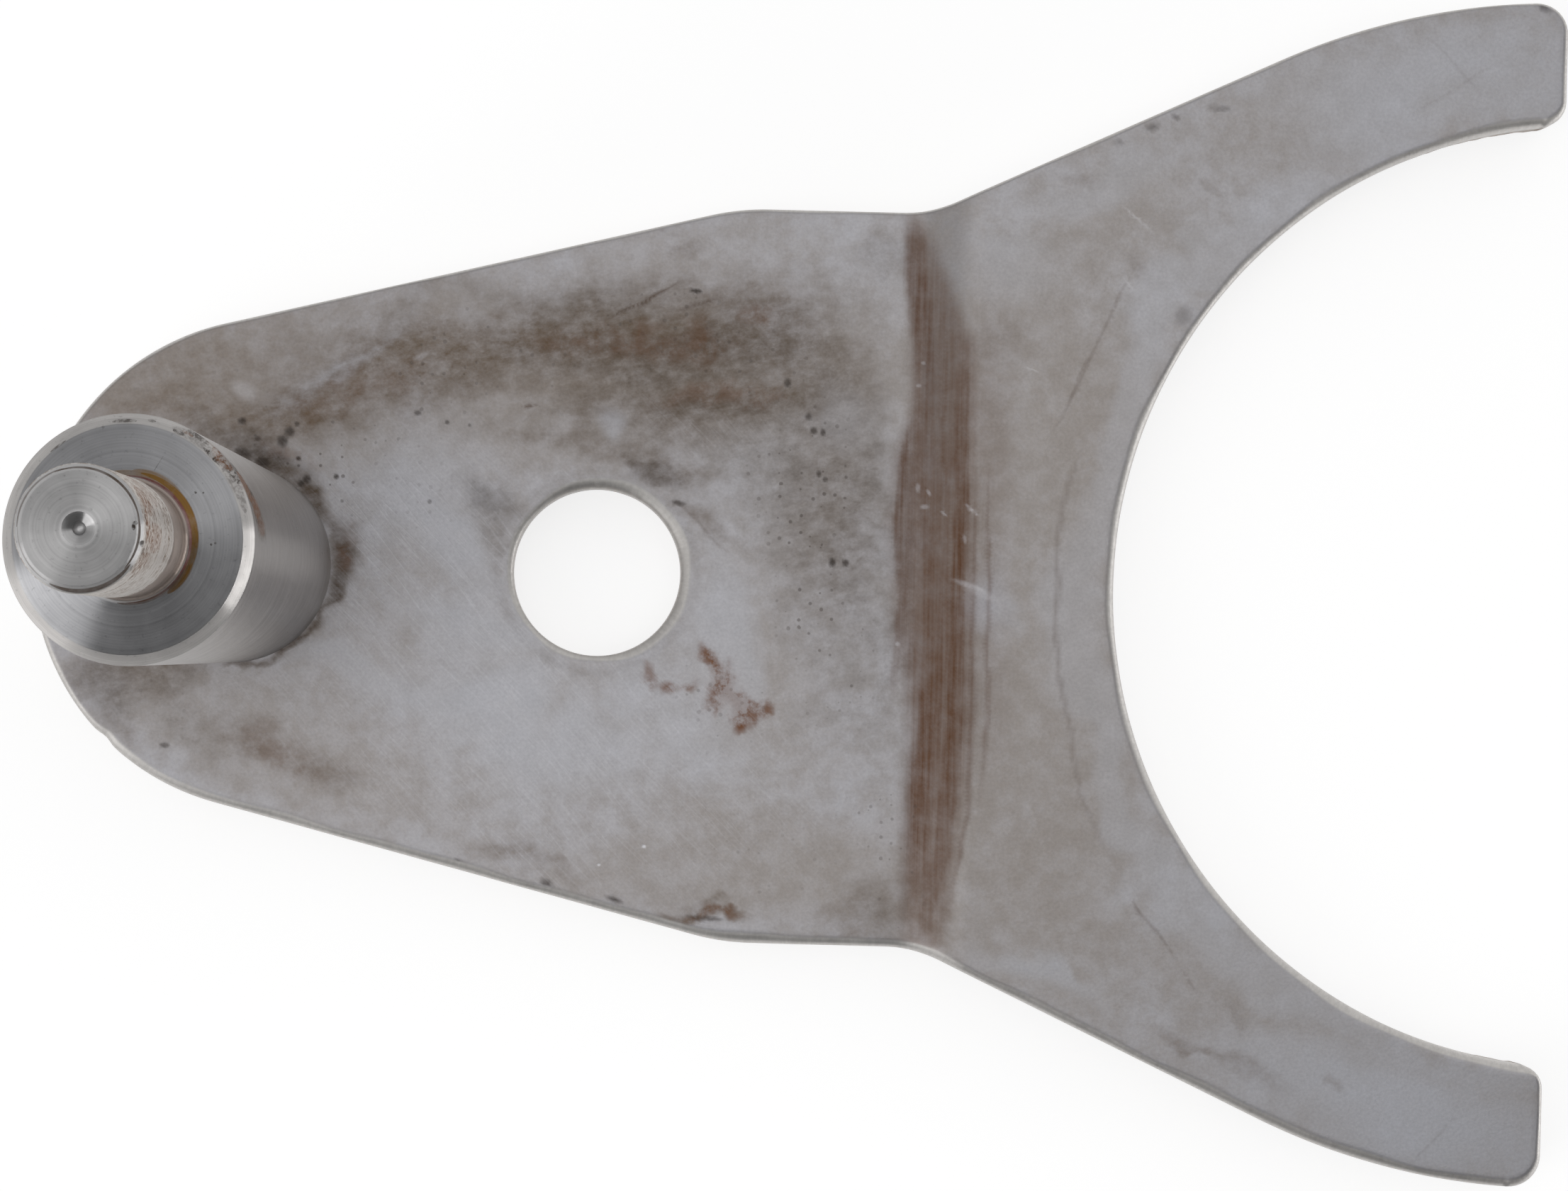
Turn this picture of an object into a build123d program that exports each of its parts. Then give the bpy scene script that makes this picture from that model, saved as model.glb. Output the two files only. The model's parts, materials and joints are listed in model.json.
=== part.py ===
from build123d import *
import os
from math import asin, atan2, degrees, hypot, radians, sqrt, tan

# A shift fork: a thick steel plate, blanked to shape, with a rounded tail, a plain hole, a shallow
# joggle across the waist and a two-pronged mouth. A turned guide pin stands on the tail, and its
# rear spigot goes through the plate and is headed over flush with the back.
# +Z runs up the pin and +X from the pin to the mouth. The origin is on the pin's axis, in the
# plane of the tail's back face. Lengths are millimetres and angles are degrees.

# Plate
plate_thickness = 7.94
rim_rounding = 0.9           # the front rim is rolled over where the punch pulled it down

# Tail, around the pin
tail_radius = 31.6
tail_centre_x = 6.0          # the rounded end is struck from a point just ahead of the pin
hole_diameter = 21.4
hole_x = 46.75

# Waist, between the tail and the prongs, with straight sides parallel to the centre line
waist_half_width = 47.0
waist_start_x = 63.9
waist_length = 24.6
waist_end_x = waist_start_x + waist_length
shoulder_radius = 31.0       # outside corner, from the tapered side to the waist
armpit_radius = 17.1         # inside corner, from the waist to the prong

# Mouth and prongs
mouth_diameter = 120.65
mouth_centre_x = 173.0
tip_setback = 4.1            # the tips stop this far short of the mouth's centre
tip_x = mouth_centre_x - tip_setback
tip_half_span = 75.6         # from the centre line to the outside of a tip
tip_outer_radius = 4.0
tip_inner_radius = 3.0
prong_back_radius = 86.0     # the prong's back curves round until it is parallel at the tip

# Joggle, a low step that lifts the prongs forward of the tail
joggle_offset = 0.5          # the back face starts to rise this far past the waist's end
joggle_run = 5.5
joggle_rise = 2.0
joggle_bend_radius = 3.0     # on the hollow side of each bend

# Guide pin
barrel_diameter = 25.4
barrel_length = 114.0
barrel_chamfer = 1.1
neck_diameter = 11.6
neck_length = 12.5
neck_fillet = 0.65           # from the neck to the barrel's end face
land_diameter = 12.0
land_length = 25.5
land_chamfer = 0.75
spigot_diameter = 19.0       # passes through the plate
head_diameter = 23.0         # the spigot's end, swaged into a countersink
head_depth = 2.0
centre_drill_diameter = 3.1
centre_drill_angle = 118.0
centre_drill_pilot = 1.2
centre_drill_pilot_depth = 0.8


def corner_pair(outline, x, y):
    """The two mirrored corners of an outline nearest to (x, y) and (x, -y)."""
    return [outline.vertices().sort_by_distance((x, side, 0))[0] for side in (y, -y)]


def half_outline():
    """One side of the blank with sharp corners, from the tail's end round to the tip.

    The tapered side touches the tail's arc and the prong's straight side touches the arc of the
    prong's back, so both slopes follow from the corners of the waist.
    """
    shoulder = (waist_start_x, waist_half_width)
    armpit = (waist_end_x, waist_half_width)
    back_centre = (tip_x, tip_half_span - prong_back_radius)
    shoulder_reach = (shoulder[0] - tail_centre_x, shoulder[1])
    armpit_reach = (back_centre[0] - armpit[0], back_centre[1] - armpit[1])
    taper = degrees(atan2(shoulder_reach[1], shoulder_reach[0])
                    - asin(tail_radius / hypot(*shoulder_reach)))
    spread = degrees(atan2(armpit_reach[1], armpit_reach[0])
                     + asin(prong_back_radius / hypot(*armpit_reach)))
    tail_arc = CenterArc((tail_centre_x, 0), tail_radius, 90 + taper, 90 - taper)
    back_arc = CenterArc(back_centre, prong_back_radius, 90, spread)
    sides = Polyline(tail_arc @ 0, shoulder, armpit, back_arc @ 1)
    tip_face = Line(back_arc @ 0, (tip_x, 0))
    return [tail_arc, sides, back_arc, tip_face], shoulder, armpit


def fork_outline():
    """The blank seen from the front: both sides, the round mouth and all corners rounded."""
    side, shoulder, armpit = half_outline()
    lines = Curve() + side
    blank = make_face(lines + mirror(lines, about=Plane.XZ))
    mouth_radius = mouth_diameter / 2
    inner_tip_y = sqrt(mouth_radius**2 - (mouth_centre_x - tip_x)**2)
    blank = blank - Pos(mouth_centre_x, 0) * Circle(mouth_radius)
    blank = fillet(corner_pair(blank, *shoulder), shoulder_radius)
    blank = fillet(corner_pair(blank, *armpit), armpit_radius)
    blank = fillet(corner_pair(blank, tip_x, tip_half_span), tip_outer_radius)
    return fillet(corner_pair(blank, tip_x, inner_tip_y), tip_inner_radius)


def joggled_slab():
    """A wide strip of the plate's thickness, bent once up and once flat again."""
    start_x = tail_centre_x - 2 * tail_radius
    end_x = tip_x + tail_radius
    joggle_start_x = waist_end_x + joggle_offset
    ramp_end_x = joggle_start_x + joggle_run
    back = FilletPolyline(
        (start_x, 0), (joggle_start_x, 0), (ramp_end_x, joggle_rise), (end_x, joggle_rise),
        radius=[joggle_bend_radius + plate_thickness, joggle_bend_radius])
    section = make_face(offset(back, plate_thickness, side=Side.LEFT))
    return extrude(Plane.XZ * section, 2 * tip_half_span, both=True)


def rim_edges(plate):
    """Edges where the front of the plate meets its cut sides."""
    front = plate.faces().filter_by(lambda face: face.normal_at().Z > 0.5)
    sides = plate.faces().filter_by(lambda face: abs(face.normal_at().Z) < 0.1)
    return front.edges() & sides.edges()


def spigot_profile():
    """Half section of the pin's rear end, shared by the pin and its seat in the plate."""
    return [(0, 0), (head_diameter / 2, 0), (spigot_diameter / 2, head_depth),
            (spigot_diameter / 2, plate_thickness)]


def make_fork_plate():
    """The joggled blank with its hole, its rolled front rim and the seat for the pin."""
    blank = extrude(fork_outline(), plate_thickness + joggle_rise)
    plate = blank & joggled_slab()
    plate = plate - Pos(hole_x, 0) * Cylinder(hole_diameter / 2, 4 * plate_thickness)
    plate = fillet(rim_edges(plate), rim_rounding)
    seat = Plane.XZ * Polyline(*spigot_profile(), (0, plate_thickness), close=True)
    return plate - revolve(make_face(seat), Axis.Z)


def make_guide_pin():
    """The turned pin: swaged spigot, barrel, reduced neck and land, and a centre drilling."""
    barrel_radius = barrel_diameter / 2
    neck_radius = neck_diameter / 2
    land_radius = land_diameter / 2
    barrel_top = plate_thickness + barrel_length
    neck_top = barrel_top + neck_length
    end = neck_top + land_length
    drill_radius = centre_drill_diameter / 2
    pilot_radius = centre_drill_pilot / 2
    drill_depth = (drill_radius - pilot_radius) / tan(radians(centre_drill_angle / 2))
    pilot_end = end - drill_depth - centre_drill_pilot_depth
    lower = Polyline(
        *spigot_profile(), (barrel_radius, plate_thickness),
        (barrel_radius, barrel_top - barrel_chamfer), (barrel_radius - barrel_chamfer, barrel_top),
        (neck_radius + neck_fillet, barrel_top))
    fillet_centre = (neck_radius + neck_fillet, barrel_top + neck_fillet)
    root = CenterArc(fillet_centre, neck_fillet, 180, 90)
    upper = Polyline(
        (neck_radius, barrel_top + neck_fillet), (neck_radius, neck_top), (land_radius, neck_top),
        (land_radius, end - land_chamfer), (land_radius - land_chamfer, end),
        (drill_radius, end), (pilot_radius, end - drill_depth), (pilot_radius, pilot_end),
        (0, pilot_end), (0, 0))
    section = make_face(Plane.XZ * (Curve() + [lower, root, upper]))
    return revolve(section, Axis.Z)


os.makedirs("parts", exist_ok=True)
export_step(make_fork_plate(), "parts/fork_plate.step")
export_step(make_guide_pin(), "parts/guide_pin.step")
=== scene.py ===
"""The looks of a shift fork: a blanked steel plate with a turned pin standing on its tail.

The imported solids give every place. Both pieces are worked out again as fine surfaces, so that their cut
edges, rolled rims and turned corners are as smooth and as uneven as real ones. Lengths are metres, as in
the frame, and patterns are drawn in millimetres.
"""

import json
from math import atan, cos, pi, radians, sin, sqrt

import bpy
import numpy as np
from bpy.props import FloatProperty, FloatVectorProperty, PointerProperty
from mathutils import Euler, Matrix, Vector
from mathutils.geometry import delaunay_2d_cdt


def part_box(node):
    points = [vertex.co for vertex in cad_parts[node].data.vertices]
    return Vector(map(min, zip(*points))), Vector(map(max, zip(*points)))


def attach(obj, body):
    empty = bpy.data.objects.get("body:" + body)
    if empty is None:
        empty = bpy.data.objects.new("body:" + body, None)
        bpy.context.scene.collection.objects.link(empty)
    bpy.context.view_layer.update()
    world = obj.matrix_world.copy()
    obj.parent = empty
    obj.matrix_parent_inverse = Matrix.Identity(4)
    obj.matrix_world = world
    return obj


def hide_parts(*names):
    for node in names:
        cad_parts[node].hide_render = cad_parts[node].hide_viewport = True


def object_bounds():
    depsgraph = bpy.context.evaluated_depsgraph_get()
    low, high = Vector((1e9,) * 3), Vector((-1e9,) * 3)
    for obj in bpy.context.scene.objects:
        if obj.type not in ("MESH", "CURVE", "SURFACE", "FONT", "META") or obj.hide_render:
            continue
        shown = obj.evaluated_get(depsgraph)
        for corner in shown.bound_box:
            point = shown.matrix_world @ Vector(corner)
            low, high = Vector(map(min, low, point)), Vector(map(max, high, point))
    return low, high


bl_info = {
    "name": "Shift fork looks",
    "version": (1, 0, 0),
    "blender": (4, 5, 0),
    "location": "3D View > Sidebar > Shift Fork",
    "description": "Builds the finished fork plate, guide pin and photo stage round the packed solids",
    "category": "Object",
}

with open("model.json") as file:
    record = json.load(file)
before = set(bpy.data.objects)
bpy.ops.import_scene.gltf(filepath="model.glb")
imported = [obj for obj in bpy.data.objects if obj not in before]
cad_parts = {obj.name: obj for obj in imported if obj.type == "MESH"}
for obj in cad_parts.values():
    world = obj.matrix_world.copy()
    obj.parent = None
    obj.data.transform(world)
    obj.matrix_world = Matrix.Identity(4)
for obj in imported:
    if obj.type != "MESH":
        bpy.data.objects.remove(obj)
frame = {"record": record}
CAD_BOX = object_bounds()
MOUNTS = {mount["name"]: mount for mount in frame["record"]["mounts"]}
MM = 0.001
BODY = "root"


def mount_radius(name):
    """A round mount's radius in metres."""
    return MOUNTS[name]["dims"]["r_mm"] * MM


MOUTH_X, MOUTH_R = MOUNTS["fork_mouth"]["pos_m"][0], mount_radius("fork_mouth")
HOLE_X, HOLE_R = MOUNTS["plate_hole"]["pos_m"][0], mount_radius("plate_hole")
TIP_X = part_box("fork_plate")[1][0]
PIN_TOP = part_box("guide_pin")[1][2]


def linear(hex_colour):
    """Scene-linear red, green and blue of an sRGB hex colour such as #a1a0a1."""
    channels = np.array([int(hex_colour[k:k + 2], 16) for k in (1, 3, 5)]) / 255
    low = channels / 12.92
    high = ((channels + 0.055) / 1.055) ** 2.4
    return tuple(float(c) for c in np.where(channels <= 0.04045, low, high))


def length(name, metres, description):
    """A length property in metres."""
    return FloatProperty(name=name, description=description, default=metres, min=0.0, unit="LENGTH")


def colour(name, hex_colour, description):
    """A colour property given as an sRGB hex value."""
    return FloatVectorProperty(name=name, description=description, subtype="COLOR", size=3,
                               min=0.0, max=1.0, default=linear(hex_colour))


# Sizes and colours that a user would change


class ForkPlateSizes(bpy.types.PropertyGroup):
    """The fork plate's outline, joggle and cut edges."""
    thickness: length("Thickness", MOUNTS["guide_barrel"]["pos_m"][2], "Of the steel plate")
    tail_radius: length("Tail radius", 0.0316, "The rounded end round the pin")
    tail_centre_x: length("Tail centre", 0.006, "How far ahead of the pin the rounded end is struck")
    waist_half_width: length("Waist half width", 0.047, "From the centre line to a straight side")
    waist_start_x: length("Waist start", 0.0639, "Corner between a tapered and a straight side")
    waist_end_x: length("Waist end", 0.0885, "Corner between a straight side and a prong")
    shoulder_radius: length("Shoulder radius", 0.031, "Round at the waist's start")
    armpit_radius: length("Armpit radius", 0.0171, "Round at the waist's end")
    tip_half_span: length("Tip half span", 0.0756, "From the centre line to the outside of a tip")
    tip_outer_radius: length("Outer tip radius", 0.004, "Round at the outside of a tip")
    tip_inner_radius: length("Inner tip radius", 0.003, "Round at the inside of a tip")
    prong_back_radius: length("Prong back radius", 0.086, "The curve of a prong's back")
    joggle_start_x: length("Joggle start", 0.089, "Where the back face starts to rise")
    joggle_run: length("Joggle run", 0.0055, "Length of the slope")
    joggle_rise: length("Joggle rise", 0.002, "How far the prongs stand forward of the tail")
    bend_radius: length("Bend radius", 0.003, "On the hollow side of each bend")
    seat_radius: length("Spigot seat radius", 0.0095, "The hole that the pin's spigot fills")
    head_radius: length("Spigot head radius", 0.0115, "The countersink that the spigot is swaged into")
    head_depth: length("Spigot head depth", 0.002, "Depth of that countersink")
    roll_upper: length("Roll, upper side", 0.0005, "Width of the rolled rim on the upper side")
    roll_lower: length("Roll, lower side", 0.0014, "Width of the rolled rim on the lower side")
    roll_mouth: length("Roll, mouth", 0.0012, "Width of the rolled rim in the mouth")
    roll_hole: length("Roll, hole", 0.0015, "Mean width of the rolled rim of the hole")
    torn_inset: length("Torn band inset", 0.00022, "How far the torn band draws in at the back")
    back_corner: length("Back corner", 0.00015, "Round of the back edges")


class ForkPinSizes(bpy.types.PropertyGroup):
    """The guide pin's turned profile."""
    barrel_radius: length("Barrel radius", mount_radius("guide_barrel"), "The guide's radius")
    barrel_top: length("Barrel top", 0.12194, "Height of the barrel's end face")
    barrel_chamfer: length("Barrel chamfer", 0.0011, "At the barrel's free end")
    foot_chamfer: length("Foot chamfer", 0.0003, "Where the barrel meets the plate")
    neck_radius: length("Neck radius", 0.0058, "Between the barrel and the end land")
    neck_fillet: length("Neck fillet", 0.00065, "From the neck to the barrel's end face")
    land_radius: length("End land radius", mount_radius("end_land"), "The thin end's radius")
    land_start: length("End land start", MOUNTS["end_land"]["pos_m"][2], "Height of the land's lower lip")
    land_chamfer: length("End land chamfer", 0.00075, "At the thin end")
    drill_radius: length("Centre drill radius", 0.00155, "Mouth of the turning centre")
    drill_depth: length("Centre drill depth", 0.00057, "Depth of the cone in the end face")
    pilot_radius: length("Pilot radius", 0.0006, "Bottom of the turning centre")
    pilot_depth: length("Pilot depth", 0.00137, "Bottom of the turning centre below the end face")
    edge_break: length("Edge break", 0.00012, "Round left on the sharp turned corners")


class ForkColours(bpy.types.PropertyGroup):
    """Colours of the steel and of what has dried on it."""
    steel: colour("Plate steel", "#a6a5a9", "Tumbled steel, clean")
    steel_warm: colour("Plate steel, warm", "#928c88", "The same under a thin film of old oil")
    steel_dull: colour("Plate steel, dull", "#67625f", "The same under a thin film of dust and oil")
    steel_pale: colour("Plate steel, rubbed", "#abacb2", "Where the film is rubbed off")
    sheared: colour("Sheared edge", "#c8c5c2", "The bright band of a cut wall")
    torn: colour("Torn edge", "#aba29b", "The matt band of a cut wall")
    film: colour("Brown film", "#67543f", "Dried oil varnish")
    grime: colour("Grime", "#3a3029", "Dark oily dirt")
    rust: colour("Rust", "#744a2b", "Light rust under oil")
    joggle: colour("Joggle film", "#603f27", "Dark brown film in the joggle")
    turned: colour("Turned steel", "#adacac", "The pin's turned faces")
    ground: colour("Ground steel", "#95918f", "The pin's barrel")
    neck: colour("Stained steel", "#ab9e96", "The pin's neck")
    land: colour("Worn steel", "#ccc7c2", "The pin's thin end")
    varnish: colour("Golden varnish", "#7b5d34", "Thin dried oil at the neck")


class ForkStageSettings(bpy.types.PropertyGroup):
    """Camera and light."""
    camera_height: length("Camera height", 0.526, "Above the tail's front face")
    world: FloatProperty(name="Surroundings", description="Brightness of the white room",
                         default=0.8, min=0.0)
    overhead: FloatProperty(name="Overhead", description="Brightness of the softbox above",
                            default=0.7, min=0.0)
    side: FloatProperty(name="Side", description="Brightness of the softbox at the lower left",
                        default=1.7, min=0.0)
    strip: FloatProperty(name="Strip", description="Brightness of the small softbox at the right",
                         default=3.6, min=0.0)


# Stains


# Marks on the plate's front face, each (x, y, half length, half width, turn, strength): millimetres from
# the pin's axis, degrees from the length of the plate, and a share of the full colour
WARM_MARKS = (
    (106, -10, 12, 46, 0, 0.7), (66, -34, 14, 6, -8, 0.55), (66, -10, 7, 12, 0, 0.5),
    (20, -28, 10, 4, -22, 0.4), (-8, 25, 15, 8, 22, 0.9), (8, 21, 12, 4, 24, 0.6),
    (2, -23, 15, 5, -22, 0.6), (50, 38, 22, 4, 12, 0.4), (103, -28, 12, 24, 4, 0.6),
    (103, 20, 9, 18, 0, 0.75), (114, 44, 9, 6, -35, 0.6), (128, -53, 14, 5, -30, 0.6),
    (132, 60, 14, 5, 28, 0.45), (60, -40, 22, 4, -8, 0.5), (78, -38, 9, 6, 0, 0.5), (78, 28, 5, 6, 0, 0.6),
    (42, 18, 9, 4, -10, 0.45), (48, 26, 30, 9, 3, 0.95), (90.5, -2, 5, 42, 0, 0.95),
    (-8, -14, 10, 8, 0, 0.5), (76, 10, 6, 20, 0, 0.6), (60, 18, 12, 8, 0, 0.5),
)
DULL_MARKS = (
    (60, 17, 15, 8, -8, 0.42), (76, 9, 7, 20, 4, 0.55), (43, 21, 9, 3.4, -4, 0.12), (73, 26, 6, 5, 0, 0.4),
    # The mark at (-12, -14) darkens the plate below and left of the pin
    (-12, -14, 9, 4, 12, 0.5), (66, 32, 9, 7, 0, 0.2), (81, 41, 5, 2.4, -12, 0.35), (46, 34, 12, 4, 4, 0.2),
    (33.5, 8.4, 5, 2.6, -35, 0.4), (82, 6, 3, 22, 4, 0.35), (-6, -20, 8, 2.4, -24, 0.25),
    (83, -46, 3, 6, 30, 0.3), (24, 33, 14, 2, 14, 0.25), (55, 22, 12, 5, 0, 0.3),
)
PALE_MARKS = (
    (11, 26, 9, 1.5, 24, 0.8), (32, 28, 3, 2.6, 30, 0.3), (27, 5, 8, 4, -40, 0.6),
    (35, -20, 13, 4, -22, 0.6), (98, 38, 6, 4, -20, 0.3), (98, -2, 4, 4, 0, 0.7), (77, 23, 4, 3, 0, 0.3),
    (150, 66, 16, 6, 15, 0.5), (150, -67, 18, 5, -14, 0.7), (62, -6, 3, 9, 0, 0.5), (22, 12, 9, 6, 20, 0.3),
    (103, -49, 9, 2, -24, 0.5), (107, 51, 8, 3, 24, 0.3), (128, -43, 2, 2, 0, 0.5), (56, -20, 9, 6, 0, 0.3),
    (47, 18.5, 1.4, 2.2, 0, 0.8), (32, -8, 9, 5, -20, 0.5), (16, -16, 9, 3, -20, 0.4),
)
FILM_MARKS = (
    (-9, 24, 13, 6, 24, 0.22), (0, 18.6, 12, 2.4, -4, 0.4), (18, 23, 16, 4, 22, 0.5),
    (8, 19.5, 7, 2.6, 12, 0.4), (21, 27, 6, 2.4, 18, 0.36), (31, 26, 8, 3, 12, 0.38),
    (40, 28, 9, 3.6, 6, 0.34), (52, 29.6, 18, 3.4, 0, 0.52), (43, 32, 9, 4, 10, 0.2),
    (63, 23.2, 10, 2.2, 3, 0.42), (55, 14.2, 6, 1.8, -12, 0.42), (42, 16.5, 8, 1.2, -10, 0.25),
    (44, 19.5, 1.6, 3.6, 0, 0.25), (66, 33, 8, 4.5, 10, 0.36), (56, 33, 11, 4, 0, 0.3),
    (14.6, 2.5, 1.5, 3.4, 0, 0.5), (55, 24, 14, 5, 0, 0.3), (2, -22, 6, 2.4, -22, 0.2),
    (8, -24.5, 7, 2.2, -30, 0.22), (14, -27, 4, 1.6, -22, 0.34), (-14, -21.5, 3, 1, -40, 0.3),
    (36, -37.3, 4, 1.2, -10, 0.36), (43, -38, 3, 1, -20, 0.3), (61.5, -43.6, 4.4, 0.6, -3, 0.8),
    (62, -42, 1.8, 0.7, 10, 0.4), (82, -42, 5, 3.4, 20, 0.34), (124, -59, 3.4, 0.6, -14, 0.45),
    (131, -61.4, 4, 1.2, -26, 0.28), (142.6, -63.6, 1.8, 0.6, -35, 0.3), (129, -54.5, 1, 1.6, 20, 0.2),
    (107, 50.2, 2.2, 0.7, 0, 0.2), (123.3, 51, 2.2, 0.6, -50, 0.2), (115.5, 40.5, 1.8, 1, -40, 0.2),
    (54.5, 43.2, 1.4, 0.4, 5, 0.5), (57, 41, 2.6, 0.6, 20, 0.3), (60, 6.2, 4.5, 0.8, -42, 0.3),
    (97, 31, 4, 3, 0, 0.15), (-12, -15, 8, 3, 10, 0.34), (90, -43, 3, 5, 20, 0.25), (74, 27, 6, 4, 0, 0.28),
    (77, 12, 5, 14, 0, 0.2), (8, 24, 26, 7, 16, 0.22), (48, 28, 28, 9, 2, 0.16),
)
GRIME_MARKS = (
    (2, 14.8, 6.5, 2.0, -28, 0.45), (4.6, 13.0, 3.6, 1.0, -20, 0.45), (52, 27.2, 12, 2, 0, 0.2),
    (47, 34, 9, 3, 5, 0.12), (55, 29.6, 13, 1.4, 0, 0.2), (62, 22.6, 8, 1.2, 4, 0.25),
    (66, 31, 6, 4, 0, 0.12), (54, 13.6, 4, 1.4, -14, 0.34), (33, 8.6, 3.4, 1.4, -35, 0.25),
    (-16, -17, 4, 4, 40, 0.2), (60, 31, 4, 1.2, 10, 0.15),
)
# Dirt round the pin's foot, and along its lower side a thin dark line just off the barrel that is partly
# residue in the seam and partly painted contact shadow, each (azimuth, radius, half length along the ring,
# half width, strength)
FOOT_DIRT_AND_SHADOW_MARKS = (
    (62, 13.6, 3.6, 1.3, 0.75), (44, 13.5, 3.0, 1.2, 0.8), (30, 13.4, 2.4, 0.7, 0.6),
    (12, 14.1, 2.8, 1.5, 0.7), (4, 14.7, 2.6, 1.6, 0.55), (-10, 13.7, 2.2, 1.0, 0.9),
    # The thin marks at -28, -52 and -80 degrees, just off the barrel, are partly painted contact shadow
    (-16, 13.9, 1.4, 0.8, 0.8), (-28, 13.1, 2.4, 0.35, 0.7), (-52, 13.0, 4.4, 0.35, 0.85),
    (-80, 12.95, 4.0, 0.3, 0.7), (84, 14.4, 3.6, 1.5, 0.5),
)
SPECK_MARKS = (
    (120.7, 34.5, 1, 1.2, -30, 0.2), (124.8, 61, 1.3, 0.35, 0, 0.3), (116, 58.6, 0.9, 0.3, 25, 0.45),
    (111.7, 56.6, 0.5, 0.3, 25, 0.4), (119.2, 59.7, 0.4, 0.3, 25, 0.4), (30, -37.3, 0.4, 0.25, -12, 0.6),
    (41.3, -39.9, 0.8, 0.3, -12, 0.7), (50, -41.8, 0.9, 0.35, -20, 0.8), (61.5, -43.9, 2.2, 0.3, -2, 0.6),
    (23.3, 19.8, 0.4, 0.3, 0, 0.6), (27.1, 18.7, 0.25, 0.25, 0, 0.5), (30, 18.4, 0.2, 0.2, 0, 0.4),
    (25.1, 8.5, 0.25, 0.25, 0, 0.5), (0.9, 18.2, 0.5, 0.4, 0, 0.8), (7, 17, 0.6, 0.6, 0, 0.8),
    (6.1, 15.8, 0.6, 0.7, 0, 0.9), (2.9, 16, 0.4, 0.3, 0, 0.7), (7.9, 18, 0.3, 0.3, 0, 0.7),
    (8.2, 13.6, 0.3, 0.25, 0, 0.9), (13.1, 11.4, 0.3, 0.3, 0, 0.8), (9.3, 11, 0.5, 0.5, 0, 0.9),
    (8.6, 10.4, 0.4, 0.4, 0, 0.9), (1, 14.2, 1.0, 0.5, -20, 0.8), (3.6, 13.0, 0.9, 0.5, -20, 0.8),
    (76.8, 2, 0.4, 0.5, 0, 0.8), (78.5, 2, 0.4, 0.4, 0, 0.8), (73.3, 20.6, 0.4, 0.4, 0, 0.6),
    (74, 18.8, 0.4, 0.4, 0, 0.7), (75.2, 18.6, 0.3, 0.4, 0, 0.7), (74.8, 13.3, 0.3, 0.4, 0, 0.6),
    (75.6, 12.6, 0.3, 0.3, 0, 0.6), (70.5, 24.8, 0.4, 0.5, 0, 0.7), (58.5, 36.3, 0.7, 0.25, -5, 0.9),
    (57, 9.1, 0.9, 0.3, -10, 0.6), (-8, -23.5, 0.6, 0.3, 0, 0.5), (165.6, 74.9, 0.9, 0.35, -30, 0.6),
    (168.2, -72.6, 0.3, 0.9, 0, 0.3),
)
RUST_MARKS = (
    (62.8, -14.6, 1.7, 2.8, -30, 1.0), (61.6, -11.4, 0.9, 1.9, 15, 0.8), (64, -16.6, 2.0, 1.3, -30, 0.9),
    (66.3, -17.6, 3.0, 1.0, 18, 0.65), (65, -19, 1.2, 0.7, 0, 0.75), (69.4, -16.6, 1.1, 0.6, 20, 0.5),
    (57, -13.4, 1.7, 0.5, -12, 0.7), (53.3, -12.8, 0.9, 1.2, 0, 0.45), (61, -17.5, 1.1, 1.1, 0, 0.5),
    (46, 29.4, 7, 1.6, 0, 0.24), (57, 29.2, 6, 1.6, 3, 0.24), (60.5, 23.6, 6, 1.3, 4, 0.26),
    (66.3, 33.6, 1.6, 0.9, 20, 0.25), (59.4, 31.6, 0.9, 1.7, 0, 0.2), (68, 23.6, 2.4, 0.9, 5, 0.2),
    (62.3, -43.6, 2.8, 0.5, -3, 0.5), (52, 31.4, 2.2, 0.9, 30, 0.2), (7, -24, 5, 1.8, -28, 0.14),
    (16, 22, 8, 2, 22, 0.14), (14.4, 2, 0.8, 2.4, 0, 0.35), (6, 14, 4, 0.8, -25, 0.2),
)
NICK_MARKS = (
    (94.3, 9.1, 1.1, 0.18, -42, 0.45), (94.2, -0.5, 2.0, 0.3, -18, 0.35), (95.6, -1.4, 2.4, 0.5, -24, 0.2),
    (87.3, 24.9, 0.3, 0.2, 0, 0.4), (87.8, 27.8, 0.25, 0.2, 0, 0.35), (88.4, 9.4, 0.5, 0.25, 0, 0.4),
    (87.5, 11.8, 0.25, 0.5, 0, 0.3), (93.5, 5.4, 0.2, 0.5, 10, 0.3), (88.9, 11.2, 0.2, 0.4, 30, 0.35),
    (85.4, -8.2, 0.3, 0.25, 0, 0.5), (90.8, 8.6, 0.5, 0.12, -40, 0.4), (114.6, 46.6, 2.4, 0.16, -40, 0.3),
    (113.6, 38.3, 1.2, 0.14, -50, 0.3), (53.6, -34.9, 0.25, 0.2, 0, 0.9), (47.9, -37.4, 0.2, 0.15, 0, 0.9),
    (0.9, 22.1, 1.6, 1.0, -35, 0.25), (23.6, 27.1, 0.9, 0.3, 20, 0.3), (101.5, 27.2, 0.7, 0.12, -20, 0.3),
)
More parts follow.
